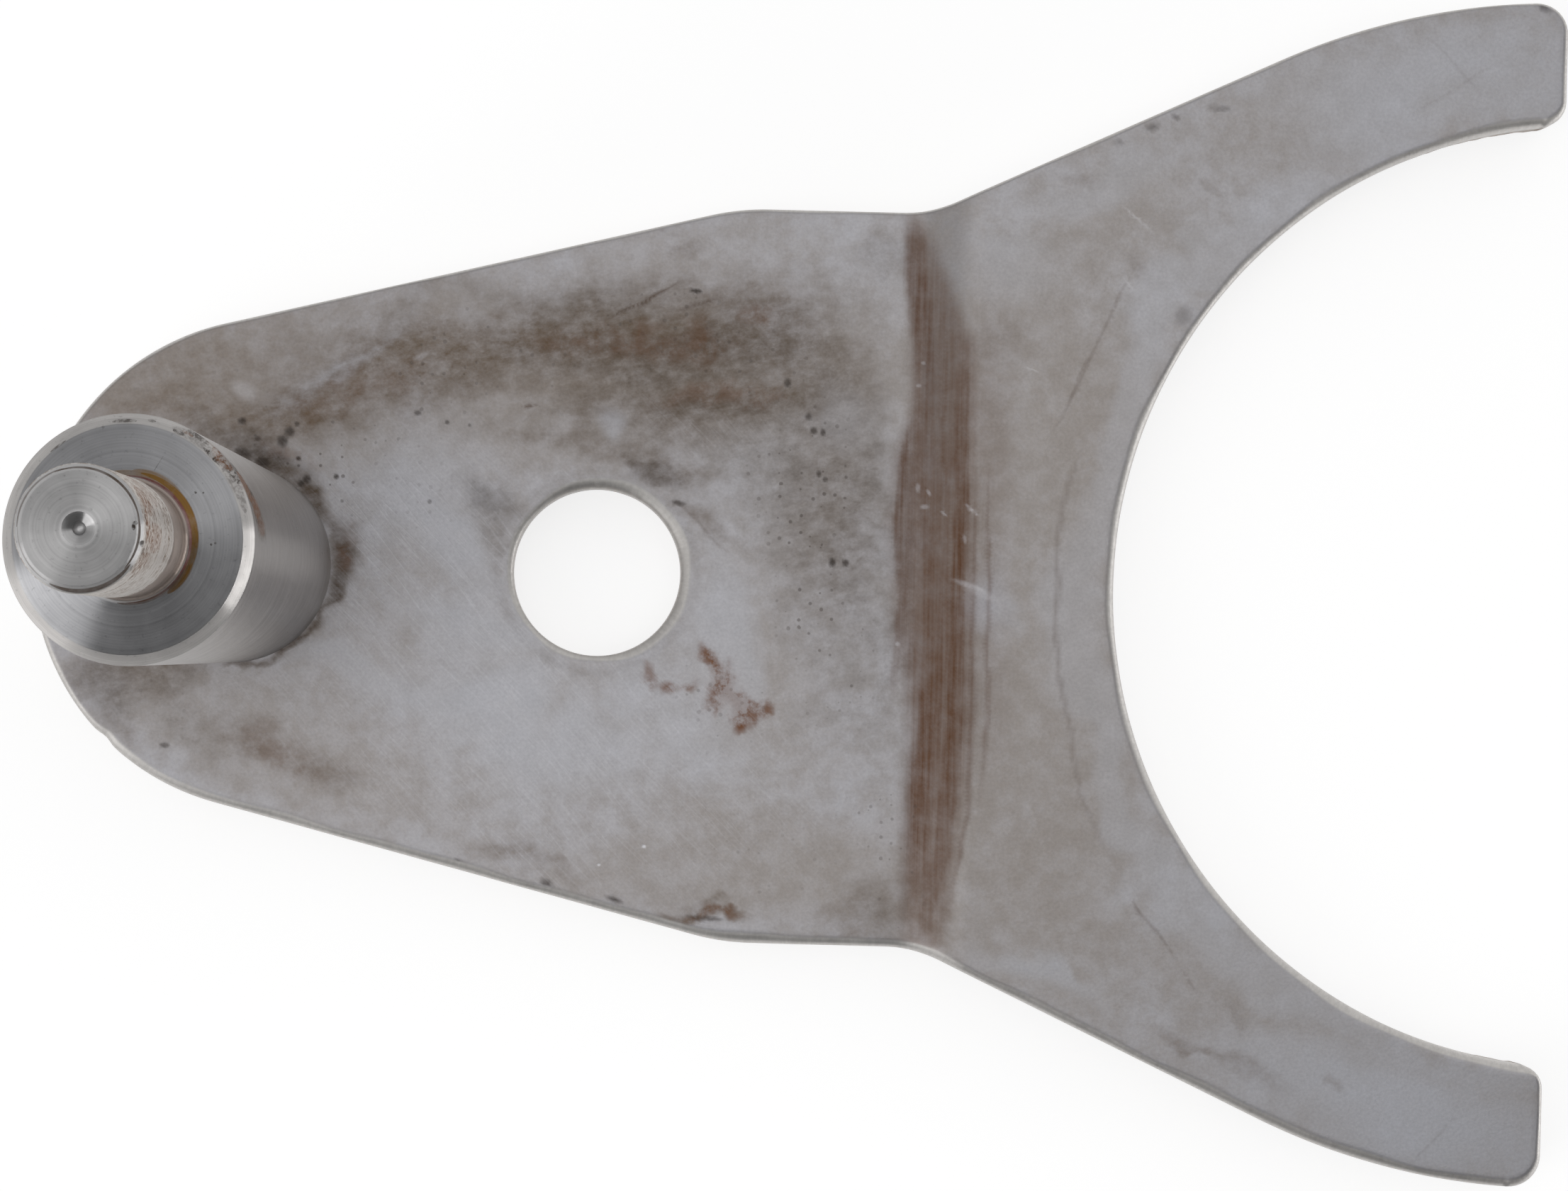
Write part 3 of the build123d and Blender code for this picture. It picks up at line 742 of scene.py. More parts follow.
def plate_surface(plate):
    """The whole plate: its cut edge round the outline and the hole, the pin's seat, and its two faces.

    The rolled rim is widest where the edge faces the lower side, and in the hole towards its upper right.
    """
    points, normals = path_round(outline_circles(plate), EDGE_STEP)
    dent = NOTCH_DEPTH * np.exp(-(np.hypot(*(points - NOTCH).T) / NOTCH_REACH) ** 2)
    points = points - dent[:, None] * normals
    along, total = travelled(points)
    from_mouth = np.hypot(points[:, 0] - MOUTH_X, points[:, 1]) - MOUTH_R
    in_mouth = np.clip(1 - from_mouth / MM, 0, 1)
    facing = np.clip(0.5 - 0.5 * normals[:, 1], 0, 1) ** ROLL_POWER
    width = plate.roll_upper + (plate.roll_lower - plate.roll_upper) * facing
    width = width * (1 - in_mouth) + plate.roll_mouth * in_mouth
    width = width * (1 + wave(along, total, *ROLL_WAVE))
    torn = plate.torn_inset * (1 + wave(along, total, *TORN_WAVE))
    section = cut_edge_section(width, ROLL_DEPTH * width + ROLL_DEPTH_MORE, torn, plate)
    rim = carried(points, normals, *section, plate)

    hole_points, hole_normals = hole_path(HOLE_X, HOLE_R, EDGE_STEP)
    bearing = np.arctan2(-hole_normals[:, 1], -hole_normals[:, 0])
    leaning = HOLE_LEAN * np.cos(bearing - radians(HOLE_LEAN_BEARING))
    width = plate.roll_hole * (1 + leaning + wave(bearing, 2 * pi, *HOLE_ROLL_WAVE))
    torn = plate.torn_inset * (1 + wave(bearing, 2 * pi, *HOLE_TORN_WAVE))
    section = cut_edge_section(width, HOLE_ROLL_DEPTH * width, torn, plate)
    hole = carried(hole_points, hole_normals, *section, plate)

    seat_points, seat_normals = hole_path(0.0, plate.seat_radius, EDGE_STEP)
    flare = plate.head_radius - plate.seat_radius
    inward = np.array([MM, 0, 0, flare, flare + 0.1 * MM, flare + MM])
    depth = plate.thickness - np.array([plate.thickness, plate.thickness, plate.head_depth, 0.1 * MM, 0, 0])
    tiled = [np.tile(values, (len(seat_points), 1)) for values in (inward, depth)]
    seat = carried(seat_points, seat_normals, *tiled, plate)

    surfaces = [rim[0], hole[0], seat[0]]
    cut_path = np.concatenate([points[::3], hole_points[::3]])
    for share, spacing, end, marks in ((1.0, FRONT_SPACING, 1, FINE_MARKS), (0.0, BACK_SPACING, 2, ())):
        places, triangles = filled_face([rim[end], hole[end], seat[end]], spacing, plate, marks)
        height = share * plate.thickness + joggle_lift(places[:, 0], share, plate)
        measures = {"in_mm": nearest(places, cut_path) / MM, "along_mm": np.zeros(len(places)),
                    "down_mm": np.full(len(places), (1 - share) * plate.thickness / MM)}
        turned = triangles if share else triangles[:, ::-1]
        surfaces.append((np.concatenate([places, height[:, None]], 1), turned, measures))
    co, faces, measures = welded(surfaces)
    return co, faces, measures | plate_stains(co[:, :2] / MM, measures["down_mm"])


def rounded_profile(corners, rounds):
    """A polyline with its corners rounded: each arc touches both sides at radius * tan(turn / 2)."""
    corners = np.array(corners)
    out = [corners[:1]]
    for before, corner, after, radius in zip(corners, corners[1:], corners[2:], rounds[1:]):
        to_it = (corner - before) / np.hypot(*(corner - before))
        from_it = (after - corner) / np.hypot(*(after - corner))
        turn = np.arctan2(to_it[0] * from_it[1] - to_it[1] * from_it[0], to_it @ from_it)
        reach = radius * np.tan(abs(turn) / 2)
        centre = corner - to_it * reach + np.sign(turn) * radius * np.array([-to_it[1], to_it[0]])
        arm = corner - to_it * reach - centre
        angle = np.linspace(0, turn, 6)
        arc = centre + np.stack([np.cos(angle) * arm[0] - np.sin(angle) * arm[1],
                                 np.sin(angle) * arm[0] + np.cos(angle) * arm[1]], 1)
        out.append(arc)
    return np.concatenate(out + [corners[-1:]])


def pin_profile(plate, pin):
    """The pin's half section, (radius, height), from the back of its head up to the turning centre."""
    small = pin.edge_break
    corners = [
        (0.0, 0.0, 0), (plate.head_radius, 0.0, small), (plate.seat_radius, plate.head_depth, small),
        (plate.seat_radius, plate.thickness, small / 2),
        (pin.barrel_radius - pin.foot_chamfer, plate.thickness, small / 2),
        (pin.barrel_radius, plate.thickness + pin.foot_chamfer, small),
        (pin.barrel_radius, pin.barrel_top - pin.barrel_chamfer, small),
        (pin.barrel_radius - pin.barrel_chamfer, pin.barrel_top, small),
        (pin.neck_radius, pin.barrel_top, pin.neck_fillet),
        (pin.neck_radius, pin.land_start - 0.2 * MM, small / 4),
        (pin.land_radius, pin.land_start, small / 4),
        (pin.land_radius, PIN_TOP - pin.land_chamfer, small),
        (pin.land_radius - pin.land_chamfer, PIN_TOP, small),
        (pin.drill_radius, PIN_TOP, small), (pin.pilot_radius, PIN_TOP - pin.drill_depth, small),
        (pin.pilot_radius, PIN_TOP - pin.pilot_depth, 4 * small), (0.0, PIN_TOP - pin.pilot_depth, 0)]
    return rounded_profile([corner[:2] for corner in corners], [corner[2] for corner in corners])


def spaced(profile, step):
    """A polyline with more places on its long runs, so that none is longer than a step."""
    run = np.hypot(*np.diff(profile, axis=0).T)
    counts = np.maximum(1, np.ceil(run / step)).astype(int)
    at = np.concatenate([k + np.arange(n) / n for k, n in enumerate(counts)] + [[len(profile) - 1]])
    index = np.arange(len(profile))
    return np.stack([np.interp(at, index, profile[:, axis]) for axis in (0, 1)], 1)


def turned_surface(profile, turns):
    """A profile (r, z) turned about the Z axis: place = (r cos a, r sin a, z), closed at both poles.

    Its measures are millimetres along the profile, the radius, and the height.
    """
    angle = np.linspace(0, 2 * pi, turns, endpoint=False)
    ring_r, ring_z = profile[1:-1].T
    co = np.stack([np.outer(ring_r, np.cos(angle)), np.outer(ring_r, np.sin(angle)),
                   np.tile(ring_z[:, None], turns)], 2).reshape(-1, 3)
    here = np.arange(len(ring_r) - 1)[:, None] * turns
    around = np.arange(turns)
    after = (around + 1) % turns
    quads = np.stack([here + around, here + after, here + turns + after, here + turns + around], 2)
    last = (len(ring_r) - 1) * turns
    poles = len(co) + np.array([0, 1])
    fan = np.stack([np.full(turns, poles[0]), after, around], 1)
    cap = np.stack([np.full(turns, poles[1]), last + around, last + after], 1)
    ends = np.array([[0, 0, profile[0, 1]], [0, 0, profile[-1, 1]]])
    travel = np.concatenate([[0], np.cumsum(np.hypot(*np.diff(profile, axis=0).T))])
    measures = {name: np.concatenate([np.repeat(values[1:-1], turns), values[[0, -1]]]) / MM
                for name, values in (("along_mm", travel), ("radius_mm", profile[:, 0]),
                                     ("height_mm", profile[:, 1]))}
    faces = quads.reshape(-1, 4).tolist() + fan.tolist() + cap.tolist()
    return np.concatenate([co, ends]), faces, measures


def new_piece(name, surface, material, node):
    """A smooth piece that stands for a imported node, with its measures as point attributes."""
    co, faces, measures = surface
    mesh = bpy.data.meshes.new(name)
    mesh.from_pydata(co.tolist(), [], faces)
    for key, values in measures.items():
        mesh.attributes.new(key, "FLOAT", "POINT").data.foreach_set("value", values.astype(np.float32))
    mesh.shade_smooth()
    mesh.materials.append(material)
    piece = bpy.data.objects.new(name, mesh)
    bpy.context.scene.collection.objects.link(piece)
    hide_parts(node)
    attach(piece, BODY)
    return piece


# Materials

# Settings that many nodes share
ADD = {"operation": "ADD"}
MAXIMUM = {"operation": "MAXIMUM"}
MULTIPLY = {"operation": "MULTIPLY"}
MULTIPLY_ADD = {"operation": "MULTIPLY_ADD"}
NORMALIZE = {"operation": "NORMALIZE"}
CLAMPED = {"use_clamp": True}
SMOOTHSTEP = {"interpolation_type": "SMOOTHSTEP"}
MIXED = {"data_type": "RGBA"}
SHADED = {"data_type": "RGBA", "blend_type": "MULTIPLY"}
WHITE, CARD = (1.0, 1.0, 1.0, 1.0), (0.8, 0.8, 0.8, 1.0)
# How brightly the floor glows for the camera and for gloss, and how far the camera sees it as white
FLOOR_GLOW, FLOOR_WHITENED = 0.45, 0.6


def add(tree, kind, settings=None, inputs=(), output=0):
    """Adds one shader node with its settings and inputs, and gives an output if it has any.

    Inputs are constants and links: a sequence fills the sockets from the first, and a dict names them. So
    a Map Range is given its value, the low and high that it maps from, and those that it maps to.
    """
    node = tree.nodes.new("ShaderNode" + kind)
    for key, value in (settings or {}).items():
        setattr(node, key, value)
    for key, value in inputs.items() if isinstance(inputs, dict) else enumerate(inputs):
        if isinstance(value, bpy.types.NodeSocket):
            tree.links.new(value, node.inputs[key])
        else:
            node.inputs[key].default_value = value
    return node.outputs[output] if node.outputs else None


def new_material(name):
    """A material with an empty node tree."""
    material = bpy.data.materials.new(name)
    material.use_nodes = True
    material.node_tree.nodes.clear()
    return material, material.node_tree


def object_mm(tree):
    """Object coordinates in millimetres."""
    place = add(tree, "TexCoord", output="Object")
    return add(tree, "VectorMath", {"operation": "SCALE"}, {0: place, "Scale": 1 / MM})


def stretched_noise(tree, places, size, turn=0, detail=2.0, roughness=0.5):
    """Noise of a size in millimetres along each axis, at a turn in degrees."""
    local = add(tree, "Mapping", {"vector_type": "TEXTURE"}, {
        "Vector": places, "Rotation": (0, 0, radians(turn)), "Scale": size})
    return add(tree, "TexNoise", {}, {
        "Vector": local, "Scale": 1.0, "Detail": detail, "Roughness": roughness})


def laid(tree, under, over, share, texture):
    """A colour laid over another by a share that a texture breaks up, and that broken share."""
    share = add(tree, "Math", MULTIPLY | CLAMPED, (share, texture))
    return add(tree, "Mix", MIXED, {0: share, 6: under, 7: (*over, 1)}, output=2), share


def plate_material(colours):
    """Blanked and vibratory-tumbled low-carbon steel: satin and slightly mottled, not brushed.

    Old oil has dried on it as brown varnish and dark grime, thickest round the pin, above the hole and in
    the joggle, and its cut edges are bright where sheared and matt where torn. Along the pin's foot on its
    lower side that dark is partly painted contact shadow.
    """
    material, tree = new_material("tumbled_low_carbon_steel")
    places = object_mm(tree)
    measures = {name: add(tree, "Attribute", {"attribute_name": name}, output="Fac")
                for name in ("in_mm", "down_mm", "along_mm", "joggle", *STAINS)}

    # Noise in the steel: clouds 14 mm across, mottle of 3 mm and grain of 0.4 mm
    clouded, mottle, grain = (
        add(tree, "TexNoise", {}, {
            "Vector": places, "Scale": 1 / size, "Detail": detail, "Roughness": roughness})
        for size, detail, roughness in ((14, 5.0, 0.62), (3.0, 6.0, 0.7), (0.4, 3.0, 0.6)))
    cloudy = add(tree, "MapRange", {}, (clouded, 0.35, 0.65, 0.0, 0.4))
    dappled = add(tree, "MapRange", {}, (mottle, 0.42, 0.62, 0.0, 0.35))
    cloudy = add(tree, "Math", ADD, (cloudy, dappled))
    tone = add(tree, "Mix", MIXED, {
        0: cloudy, 6: (*colours.steel, 1), 7: (*colours.steel_warm, 1)}, output=2)

    # What breaks up the stains: patches 2 mm long and 1.1 mm wide, and the mottle
    patchy = stretched_noise(tree, places, (2.0, 1.1, 1.1), 12, 6.0, 0.7)
    soft = add(tree, "MapRange", {}, (mottle, 0.32, 0.68, 0.68, 1.3))
    even = add(tree, "MapRange", {}, (mottle, 0.3, 0.7, 0.8, 1.2))
    flecked = add(tree, "MapRange", {}, (mottle, 0.43, 0.56, 0.3, 1.2))
    broken = add(tree, "MapRange", {}, (patchy, 0.34, 0.66, 0.42, 1.0))
    broken = add(tree, "Math", MULTIPLY, (broken, soft))
    # Lines 0.4 mm wide and 12 mm long that run along the joggle
    streaks = stretched_noise(tree, places, (0.4, 12.0, 12.0))
    streaks = add(tree, "MapRange", {}, (streaks, 0.3, 0.7, 0.84, 1.14))
    streaks = add(tree, "Math", MULTIPLY, (streaks, even))
    # Dots up to 0.3 mm in radius, one to a cell of 1.4 mm, and none in many cells
    cells = add(tree, "TexVoronoi", {"voronoi_dimensions": "2D"}, {"Vector": places, "Scale": 1 / 1.4})
    chance = add(tree, "SeparateColor", {}, (cells.node.outputs["Color"],))
    size = add(tree, "MapRange", {}, (chance, 0.45, 1.0, -0.05, 0.22))
    gap = add(tree, "Math", {"operation": "SUBTRACT"}, (size, cells))
    dots = add(tree, "MapRange", SMOOTHSTEP, (gap, -0.02, 0.08, 0.0, 0.6))

    coats = {}
    for name, over, texture in (
            ("warm", colours.steel_warm, soft), ("dull", colours.steel_dull, broken),
            ("pale", colours.steel_pale, soft), ("film", colours.film, broken),
            ("grime", colours.grime, broken), ("joggle", colours.joggle, streaks),
            ("line", linear("#5a4c43"), even), ("speck", colours.grime, even),
            ("dotted", linear("#4c4541"), dots), ("rust", colours.rust, flecked),
            ("nick", linear("#c9c8cc"), soft)):
        tone, coats[name] = laid(tree, tone, over, measures[name], texture)

    # Two fields of handling scratches. Real ones are finer: they are drawn 0.3 mm wide so that they show
    fields = []
    for long, wide, turn, low, high in ((9.0, 0.28, -43, 0.5, 0.74), (14.0, 0.35, -52, 0.52, 0.76)):
        noise = stretched_noise(tree, places, (long, wide, 1), turn)
        fields.append(add(tree, "MapRange", SMOOTHSTEP, (noise, low, high)))
    scratches = add(tree, "Math", MAXIMUM, fields)
    field = add(tree, "MapRange", {}, (measures["scratched"], 0.0, 1.0, 0.1, 1.0))
    scratches = add(tree, "Math", MULTIPLY, (scratches, field))
    scratch_share = add(tree, "Math", MULTIPLY, (scratches, 0.18))
    tone = add(tree, "Mix", MIXED, {0: scratch_share, 6: tone, 7: (*linear("#c0c0c4"), 1)}, output=2)
    grain_shade = add(tree, "MapRange", {}, (grain, 0.25, 0.75, 0.92, 1.08))
    mottle_shade = add(tree, "MapRange", {}, (mottle, 0.3, 0.7, 0.94, 1.06))
    shade = add(tree, "Math", MULTIPLY, (grain_shade, mottle_shade))
    tone = add(tree, "Mix", SHADED, {0: 1.0, 6: tone, 7: shade}, output=2)

    # Bright edge: the rolled rim, the sheared band and the torn band below it. Drag marks 0.5 mm wide and
    # 5 mm long run down it
    wall_x = add(tree, "Math", MULTIPLY, (measures["along_mm"], 1 / 0.5))
    wall_y = add(tree, "Math", MULTIPLY, (measures["down_mm"], 1 / 5.0))
    wall_place = add(tree, "CombineXYZ", {}, (wall_x, wall_y, measures["in_mm"]))
    drag = add(tree, "TexNoise", {}, {"Vector": wall_place, "Scale": 1.0, "Detail": 4.0, "Roughness": 0.65})
    tear_line = add(tree, "Math", MULTIPLY_ADD, (drag, 1.6, measures["down_mm"]))
    torn = add(tree, "MapRange", SMOOTHSTEP, (tear_line, 4.0, 4.7))
    wall_tone = add(tree, "Mix", MIXED, {
        0: torn, 6: (*colours.sheared, 1), 7: (*colours.torn, 1)}, output=2)
    wall_shade = add(tree, "MapRange", {}, (drag, 0.3, 0.7, 0.88, 1.06))
    wall_tone = add(tree, "Mix", SHADED, {0: 1.0, 6: wall_tone, 7: wall_shade}, output=2)
    # The cut edge is what lies between the front face and the back face, which is 7.94 mm down
    off_front = add(tree, "MapRange", SMOOTHSTEP, (measures["down_mm"], 0.005, 0.1))
    off_back = add(tree, "MapRange", SMOOTHSTEP, (measures["down_mm"], 7.93, 7.85))
    edge = add(tree, "Math", MULTIPLY, (off_front, off_back))
    tone = add(tree, "Mix", MIXED, {0: edge, 6: tone, 7: wall_tone}, output=2)

    # Where it is coated the steel shows less, and is rougher
    coated = coats["film"]
    for name in ("grime", "rust", "joggle", "speck"):
        coated = add(tree, "Math", ADD | CLAMPED, (coated, coats[name]))
    metallic = add(tree, "MapRange", {}, (coated, 0.0, 1.0, 1.0, 0.45))
    torn_edge = add(tree, "Math", MULTIPLY, (edge, torn))
    rough = add(tree, "MapRange", {}, (mottle, 0.3, 0.7, 0.36, 0.46))
    for share, rise in ((coated, 0.16), (torn_edge, 0.15), (edge, 0.1)):
        rough = add(tree, "Math", MULTIPLY_ADD, (share, rise, rough))

    # Relief: drag marks down the cut walls, tumbled grain, scratches and nicks
    relief = add(tree, "Math", MULTIPLY, (drag, edge))
    for height, share in ((grain, 0.5), (scratches, -0.25), (coats["nick"], -1.0)):
        relief = add(tree, "Math", MULTIPLY_ADD, (height, share, relief))
    bump = add(tree, "Bump", {}, {"Strength": 0.35, "Distance": 0.06 * MM, "Height": relief})
    shader = add(tree, "BsdfPrincipled", {}, {
        "Base Color": tone, "Metallic": metallic, "Roughness": rough, "Normal": bump})
    add(tree, "OutputMaterial", {}, (shader,))
    return material


def marks_mask(tree, places, marks, softness):
    """The strongest of many soft ellipses: each is full inside, and fades over its softness to nothing.

    On an ellipse the distances to its two foci add up to its whole length.
    """
    total = 0.0
    for x, y, half_length, half_width, turn, strength in marks:
        long_half, short_half = max(half_length, half_width), min(half_length, half_width)
        heading = radians(turn if half_length > half_width else turn + 90)
        reach = sqrt(long_half ** 2 - short_half ** 2)
        spans = []
        for side in (-reach, reach):
            focus = (x + side * cos(heading), y + side * sin(heading), 0)
            spans.append(add(tree, "VectorMath", {"operation": "DISTANCE"}, (places, focus), output=1))
        span = add(tree, "Math", ADD, spans)
        outer, inner = (2 * (reach + part * (long_half - reach)) for part in (1 + softness, 1 - softness))
        strong = add(tree, "MapRange", SMOOTHSTEP, (span, outer, inner, 0.0, strength))
        total = add(tree, "Math", MAXIMUM, (strong, total))
    return total


def pin_material(colours):
    """Turned and ground medium-carbon steel: fine rings round every face give a sheen that fans out.

    Dried oil has left a golden ring where the neck meets the barrel, painted dark brown as shade on its
    lower side, and dirt and light rust sit on the corners that are handled. The brown on the thin end's
    chamfer is partly painted reflection.
    """
    material, tree = new_material("turned_and_ground_steel")
    places = object_mm(tree)
    height, radius, along = (add(tree, "Attribute", {"attribute_name": name}, output="Fac")
                             for name in ("height_mm", "radius_mm", "along_mm"))
    x = add(tree, "SeparateXYZ", {}, (places,))
    turn = add(tree, "Math", {"operation": "ARCTAN2"}, (x.node.outputs["Y"], x))
    azimuth = add(tree, "Math", {"operation": "DEGREES"}, (turn,))
    drop = add(tree, "Math", {"operation": "SUBTRACT"}, (height, radius))
    place = add(tree, "Math", ADD, (drop, mount_radius("guide_barrel") / MM))
    rolled_out = add(tree, "CombineXYZ", {}, (azimuth, place))
    # Specks 0.5 mm across and blots 2.5 mm across, the same all round the pin
    specks, blots = (
        add(tree, "TexNoise", {}, {
            "Vector": places, "Scale": 1 / size, "Detail": detail, "Roughness": roughness})
        for size, detail, roughness in ((0.5, 4.0, 0.7), (2.5, 5.0, 0.65)))
    speckled = add(tree, "MapRange", {}, (specks, 0.42, 0.58))
    # Turning marks: noise of the distance along the profile, 0.25 mm and 1.2 mm apart. The real feed
    # marks are about 0.1 mm apart, too fine to show
    fine, coarse = (
        add(tree, "TexNoise", {"noise_dimensions": "1D"}, {
            "W": along, "Scale": 1 / size, "Detail": detail, "Roughness": roughness})
        for size, detail, roughness in ((0.25, 2.0, 0.6), (1.2, 3.0, 0.7)))
    # Lines 1.4 mm wide and 14 mm long, which run part of the way round
    lines = stretched_noise(tree, places, (14, 14, 1.4), 0, 4.0, 0.6)

    # Share of each face: 1 between its two places along the profile, fading over 0.3 mm
    on = {}
    for face, (low, high) in PIN_FACES.items():
        past = add(tree, "MapRange", {}, (place, low - FACE_FADE, low + FACE_FADE))
        before = add(tree, "MapRange", {}, (place, high + FACE_FADE, high - FACE_FADE))
        on[face] = add(tree, "Math", MULTIPLY, (past, before))
    tone = (*colours.turned, 1)
    for face, over in (("barrel", colours.ground), ("step", linear("#99999b")),
                       ("chamfer", linear("#b4b1af")), ("neck", colours.neck), ("land", colours.land)):
        tone = add(tree, "Mix", MIXED, {0: on[face], 6: tone, 7: (*over, 1)}, output=2)

    # Brown streaks where the thin end is worn, then what has dried or rusted on the pin
    worn = add(tree, "MapRange", {}, (lines, 0.4, 0.54))
    worn = add(tree, "Math", MULTIPLY, (worn, on["land"]))
    tone, _ = laid(tree, tone, linear("#6b5544"), worn, speckled)
    even = add(tree, "MapRange", {}, (blots, 0.3, 0.6, 0.7, 1.15))
    broken = add(tree, "MapRange", {}, (speckled, 0.0, 1.0, 0.25, 1.1))
    coats = {}
    for name, over, marks, softness, texture in (
            ("varnish", colours.varnish, VARNISH_RINGS, 0.5, even),
            ("violet", linear("#6a4440"), VIOLET_RINGS, 0.5, even),
            # Brown rings: dirt, with painted reflection on the thin end's chamfer and painted shade on the
            # neck ring's lower side
            ("brown", linear("#4e4036"), BROWN_AND_SHADED_RINGS, 0.5, even),
            ("grime", colours.grime, PIN_GRIME, 0.7, broken),
            ("rust", colours.rust, PIN_RUST, 0.7, broken)):
        mask = marks_mask(tree, rolled_out, marks, softness)
        tone, coats[name] = laid(tree, tone, over, mask, texture)

    shade = add(tree, "MapRange", {}, (fine, 0.3, 0.7, 0.92, 1.07))
    for row in ((coarse, 0.3, 0.7, 0.95, 1.04), (lines, 0.35, 0.65, 0.84, 1.13),
                (specks, 0.28, 0.4, 0.72, 1.0)):
        other = add(tree, "MapRange", {}, row)
        shade = add(tree, "Math", MULTIPLY, (shade, other))
    tone = add(tree, "Mix", SHADED, {0: 1.0, 6: tone, 7: shade}, output=2)

    coated = add(tree, "Math", ADD, (coats["grime"], coats["rust"]))
    coated = add(tree, "Math", ADD | CLAMPED, (coated, coats["brown"]))
    # A dull dry film covers the neck and the thin end, and a thinner one the barrel
    covered = add(tree, "Math", ADD, (on["neck"], on["land"]))
    covered = add(tree, "Math", MULTIPLY, (covered, 0.5))
    covered = add(tree, "Math", MULTIPLY_ADD, (on["barrel"], 0.15, covered))
    filmed = add(tree, "Math", MAXIMUM, (covered, coated))
    metallic = add(tree, "MapRange", {}, (filmed, 0.0, 1.0, 1.0, 0.3))
    # The end face is rougher across its rings than the rest, so its sheen fans out wider
    rough = add(tree, "MapRange", {}, (blots, 0.3, 0.7, 0.27, 0.35))
    for share, rise in ((on["end"], 0.2), (on["land"], 0.1), (coated, 0.25)):
        rough = add(tree, "Math", MULTIPLY_ADD, (share, rise, rough))

    # On the barrel's end face the feed marks' long flanks face outwards, so the surface leans that way
    outwards = add(tree, "VectorMath", MULTIPLY, (places, (1.0, 1.0, 0.0)))
    outwards = add(tree, "VectorMath", NORMALIZE, (outwards,))
    lean = add(tree, "Math", MULTIPLY, (on["step"], 0.33))
    leaned = add(tree, "VectorMath", {"operation": "SCALE"}, {0: outwards, "Scale": lean})
    upright = add(tree, "NewGeometry", output="Normal")
    leaned = add(tree, "VectorMath", ADD, (upright, leaned))
    leaned = add(tree, "VectorMath", NORMALIZE, (leaned,))
    # Relief in metres
    relief = add(tree, "Math", MULTIPLY, (fine, 0.004 * MM))
    relief = add(tree, "Math", MULTIPLY_ADD, (lines, 0.008 * MM, relief))
    bump = add(tree, "Bump", {}, {"Strength": 1.0, "Distance": 1.0, "Height": relief, "Normal": leaned})
    tangent = add(tree, "Tangent", {"direction_type": "RADIAL", "axis": "Z"})
    shader = add(tree, "BsdfPrincipled", {}, {
        "Base Color": tone, "Metallic": metallic, "Roughness": rough, "Anisotropic": 0.85,
        "Anisotropic Rotation": 0.25, "Tangent": tangent, "Normal": bump})
    add(tree, "OutputMaterial", {}, (shader,))
    return material


def floor_material():
    """Matt white card, lifted to white for the camera, so that the part's shadow on it is faint.

    A camera below it looks through it, so that the part's back shows.
    """
    material, tree = new_material("white_card")
    path = add(tree, "LightPath")
    seen = add(tree, "Math", MAXIMUM, (path, path.node.outputs["Is Glossy Ray"]))
    strength = add(tree, "Math", MULTIPLY, (seen, FLOOR_GLOW))
    matt = add(tree, "BsdfDiffuse", {}, {"Color": CARD})
    glow = add(tree, "Emission", {}, (WHITE, strength))
    both = add(tree, "AddShader", {}, (matt, glow))
    white = add(tree, "Emission", {}, (WHITE, 1.0))
    share = add(tree, "Math", MULTIPLY, (path, FLOOR_WHITENED))
    shown = add(tree, "MixShader", {}, (share, both, white))
    under = add(tree, "NewGeometry", output="Backfacing")
    below = add(tree, "Math", MULTIPLY, (path, under))
    clear = add(tree, "BsdfTransparent")
    shown = add(tree, "MixShader", {}, (below, shown, clear))
    add(tree, "OutputMaterial", {}, (shown,))
    return material


# Stage

# The room's dark sides, each (heading, cosine to it at the dark's edge and where it is full, how dark)
DARK_SIDES = ((-70, -0.1, 0.35, 0.92), (130, 0.65, 0.9, 0.3))
# Over which lean from the zenith and which rise above the horizon that darkness comes in
DARK_LEAN, DARK_RISE = (0.2, 0.55), (0.05, 0.25)
# Each softbox: its heading and height in degrees, distance and size in metres, and brightness setting
SOFTBOXES = {"overhead_softbox": (212, 80, 1.3, (1.5, 0.55), "overhead"),
             "lower_left_softbox": (212, 33, 0.8, (0.5, 0.5), "side"),
             "right_softbox": (-14, 12, 0.8, (0.2, 0.7), "strip")}
# The floor's half side, and how far it lies below the part
FLOOR_HALF, FLOOR_DROP = 2.0, 0.1 * MM
# The photograph's frame, focal length and the point below the camera, in its pixels, then that point in
# metres and how far the camera is turned in degrees
PHOTO_PX, FOCAL_PX, FOOT_PX = (2212, 1680), 5800, (860, 915)
CAMERA_FOOT, CAMERA_TURN = (0.0486, -0.00973), 1.44


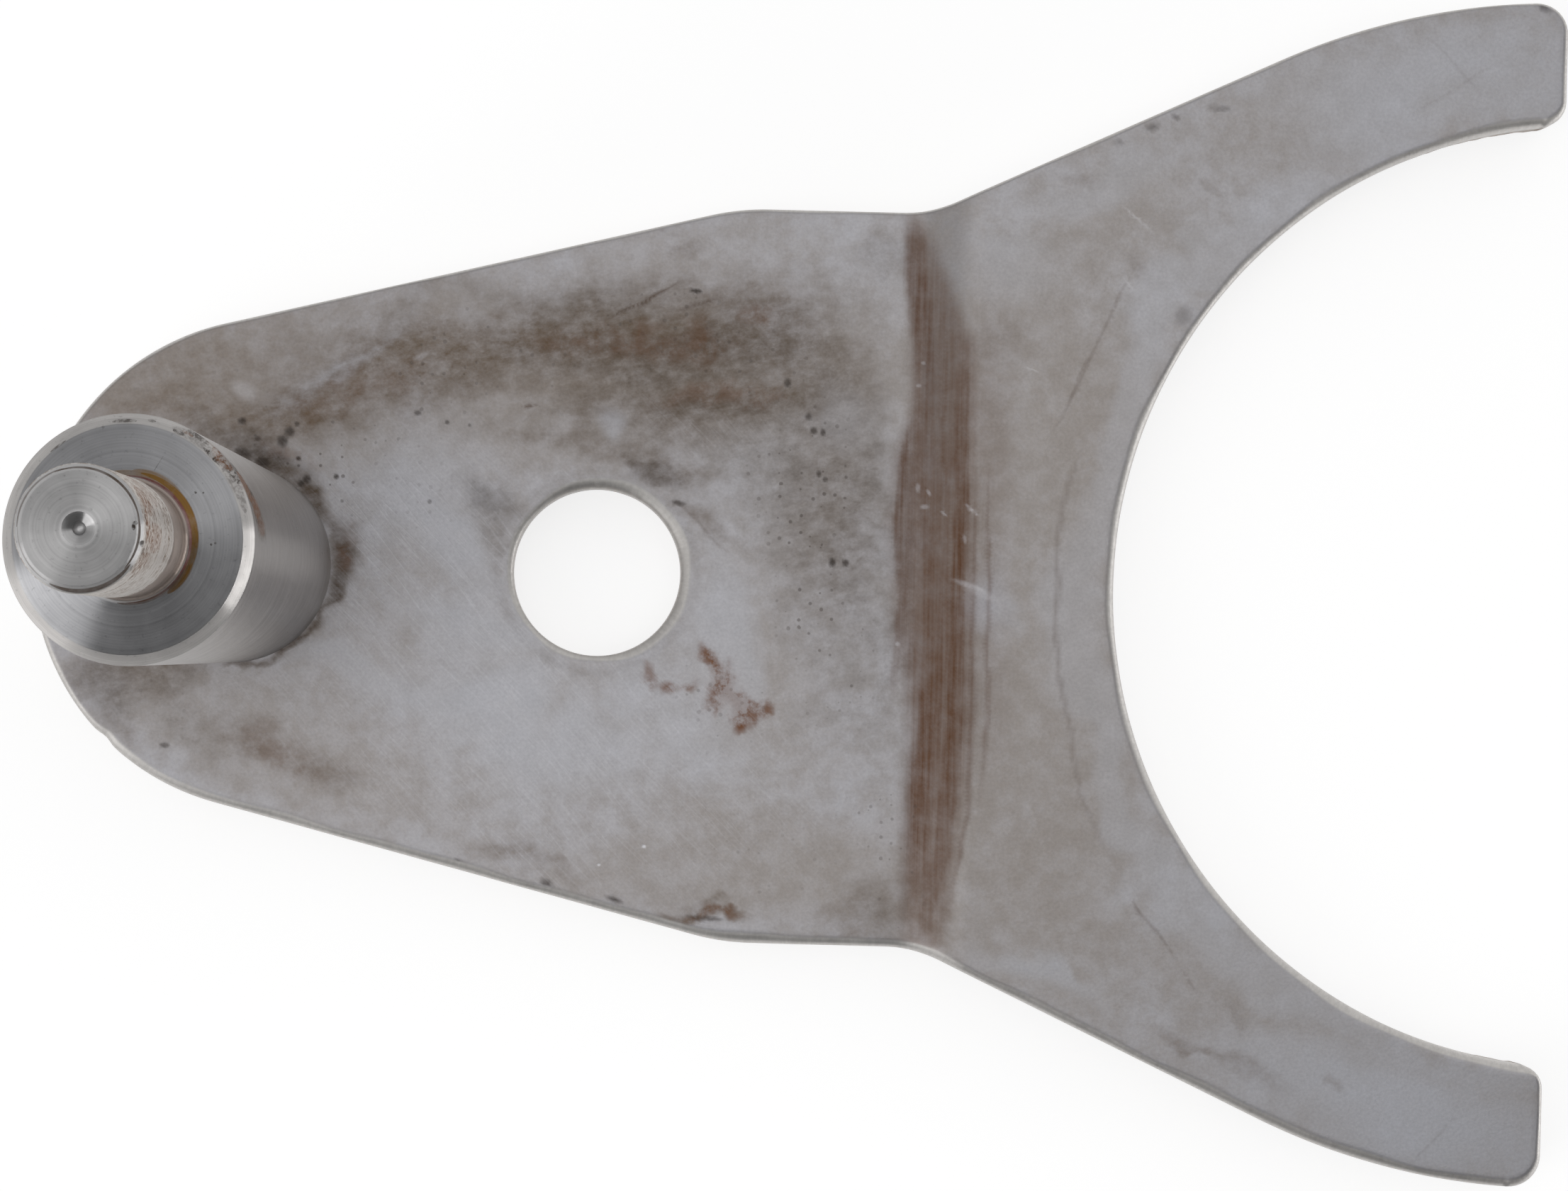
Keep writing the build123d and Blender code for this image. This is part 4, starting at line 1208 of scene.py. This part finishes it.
def white_room(scene, brightness):
    """A white room with a dark lower right side and a dimmer upper left side. The camera sees white.

    A direction is dark by the product of three smoothsteps: how near its heading is to a dark side's, how
    far it leans from the zenith, and how far it rises above the horizon.
    """
    world = bpy.data.worlds.new("white_room")
    world.use_nodes = True
    world.node_tree.nodes.clear()
    tree = world.node_tree
    direction = add(tree, "TexCoord")
    level_part = add(tree, "VectorMath", MULTIPLY, (direction, (1.0, 1.0, 0.0)))
    heading = add(tree, "VectorMath", NORMALIZE, (level_part,))
    leaning = add(tree, "VectorMath", {"operation": "LENGTH"}, (level_part,), output=1)
    leaning = add(tree, "MapRange", SMOOTHSTEP, (leaning, *DARK_LEAN))
    rise = add(tree, "SeparateXYZ", {}, (direction,), output="Z")
    rise = add(tree, "MapRange", SMOOTHSTEP, (rise, *DARK_RISE))
    aside = add(tree, "Math", MULTIPLY, (leaning, rise))
    level = brightness
    for azimuth, low, high, depth in DARK_SIDES:
        side = (cos(radians(azimuth)), sin(radians(azimuth)), 0.0)
        toward = add(tree, "VectorMath", {"operation": "DOT_PRODUCT"}, (heading, side), output=1)
        dark = add(tree, "MapRange", SMOOTHSTEP, (toward, low, high, 0.0, depth))
        dark = add(tree, "Math", MULTIPLY, (dark, aside))
        left = add(tree, "Math", {"operation": "SUBTRACT"}, (1.0, dark))
        level = add(tree, "Math", MULTIPLY, (left, level))
    path = add(tree, "LightPath")
    shown = add(tree, "Mix", {"data_type": "FLOAT"}, {0: path, 2: level, 3: 1.0})
    room = add(tree, "Background", {}, (WHITE, shown))
    add(tree, "OutputWorld", {}, (room,))
    scene.world = world


def softbox(name, azimuth, elevation, distance, size, radiance):
    """A lamp that faces the middle of the part, its size given up and down and across.

    Its power is radiance * area * pi.
    """
    lamp = bpy.data.lights.new(name, "AREA")
    lamp.shape = "RECTANGLE"
    lamp.size, lamp.size_y = size
    lamp.energy = radiance * size[0] * size[1] * pi
    box = bpy.data.objects.new(name, lamp)
    turn = Euler((0, radians(90 - elevation), radians(azimuth)))
    box.location = Vector((TIP_X / 2, 0.0, 0.0)) + turn.to_matrix() @ Vector((0, 0, distance))
    box.rotation_euler = turn
    bpy.context.scene.collection.objects.link(box)


def photo_camera(height, plate_front):
    """The photograph's camera: straight down, a little ahead of the pin, with the frame off its axis."""
    camera = bpy.data.cameras.new("photo_camera")
    camera.sensor_width = 36.0
    camera.lens = camera.sensor_width * FOCAL_PX / PHOTO_PX[0]
    camera.shift_x = (PHOTO_PX[0] / 2 - FOOT_PX[0]) / PHOTO_PX[0]
    camera.shift_y = (FOOT_PX[1] - PHOTO_PX[1] / 2) / PHOTO_PX[0]
    stand = bpy.data.objects.new("photo_camera", camera)
    stand.location = (*CAMERA_FOOT, plate_front + height)
    stand.rotation_euler = (0, 0, radians(CAMERA_TURN))
    bpy.context.scene.collection.objects.link(stand)
    bpy.context.scene.camera = stand


def white_floor():
    """A square of card just under the part."""
    half, ground = FLOOR_HALF, CAD_BOX[0].z - FLOOR_DROP
    corners = [(-half, -half, ground), (half, -half, ground), (half, half, ground), (-half, half, ground)]
    mesh = bpy.data.meshes.new("floor")
    mesh.from_pydata(corners, [], [(0, 1, 2, 3)])
    mesh.materials.append(floor_material())
    floor = bpy.data.objects.new("floor", mesh)
    bpy.context.scene.collection.objects.link(floor)


# Operators


class ForkPlateOperator(bpy.types.Operator):
    """Builds the fork plate's finished surface"""
    bl_idname = "shift_fork.plate"
    bl_label = "Fork plate"

    def execute(self, context):
        scene = context.scene
        new_piece("blanked_fork_plate", plate_surface(scene.fork_plate_sizes),
                  plate_material(scene.fork_colours), "fork_plate")
        return {"FINISHED"}


class GuidePinOperator(bpy.types.Operator):
    """Builds the guide pin's finished surface"""
    bl_idname = "shift_fork.pin"
    bl_label = "Guide pin"

    def execute(self, context):
        scene = context.scene
        profile = spaced(pin_profile(scene.fork_plate_sizes, scene.guide_pin_sizes), PIN_STEP)
        new_piece("turned_guide_pin", turned_surface(profile, PIN_TURNS),
                  pin_material(scene.fork_colours), "guide_pin")
        return {"FINISHED"}


class StageOperator(bpy.types.Operator):
    """Sets up the camera, the white room, the softboxes and the floor"""
    bl_idname = "shift_fork.stage"
    bl_label = "Stage"

    def execute(self, context):
        scene = context.scene
        stage = scene.fork_stage
        scene.view_settings.view_transform = "Standard"
        photo_camera(stage.camera_height, scene.fork_plate_sizes.thickness)
        white_room(scene, stage.world)
        for name, (*place, setting) in SOFTBOXES.items():
            softbox(name, *place, getattr(stage, setting))
        white_floor()
        return {"FINISHED"}


class ShiftForkPanel(bpy.types.Panel):
    """Lists the steps that build the finished fork, with their sizes and colours."""
    bl_idname = "VIEW3D_PT_shift_fork"
    bl_label = "Shift Fork"
    bl_space_type = "VIEW_3D"
    bl_region_type = "UI"
    bl_category = "Shift Fork"

    def draw(self, context):
        scene = context.scene
        for operator, group in (("shift_fork.plate", scene.fork_plate_sizes),
                                ("shift_fork.pin", scene.guide_pin_sizes),
                                ("shift_fork.stage", scene.fork_stage)):
            self.layout.operator(operator)
            column = self.layout.column()
            for name in group.__annotations__:
                column.prop(group, name)
        self.layout.label(text="Colours")
        for name in scene.fork_colours.__annotations__:
            self.layout.prop(scene.fork_colours, name)


CLASSES = (ForkPlateSizes, ForkPinSizes, ForkColours, ForkStageSettings,
           ForkPlateOperator, GuidePinOperator, StageOperator, ShiftForkPanel)
SCENE_GROUPS = {"fork_plate_sizes": ForkPlateSizes, "guide_pin_sizes": ForkPinSizes,
                "fork_colours": ForkColours, "fork_stage": ForkStageSettings}


def register():
    for cls in CLASSES:
        bpy.utils.register_class(cls)
    for name, group in SCENE_GROUPS.items():
        setattr(bpy.types.Scene, name, PointerProperty(type=group))


def unregister():
    for name in SCENE_GROUPS:
        delattr(bpy.types.Scene, name)
    for cls in reversed(CLASSES):
        bpy.utils.unregister_class(cls)


def main():
    register()
    bpy.ops.shift_fork.stage()
    bpy.ops.shift_fork.plate()
    bpy.ops.shift_fork.pin()


if __name__ == "__main__":
    main()
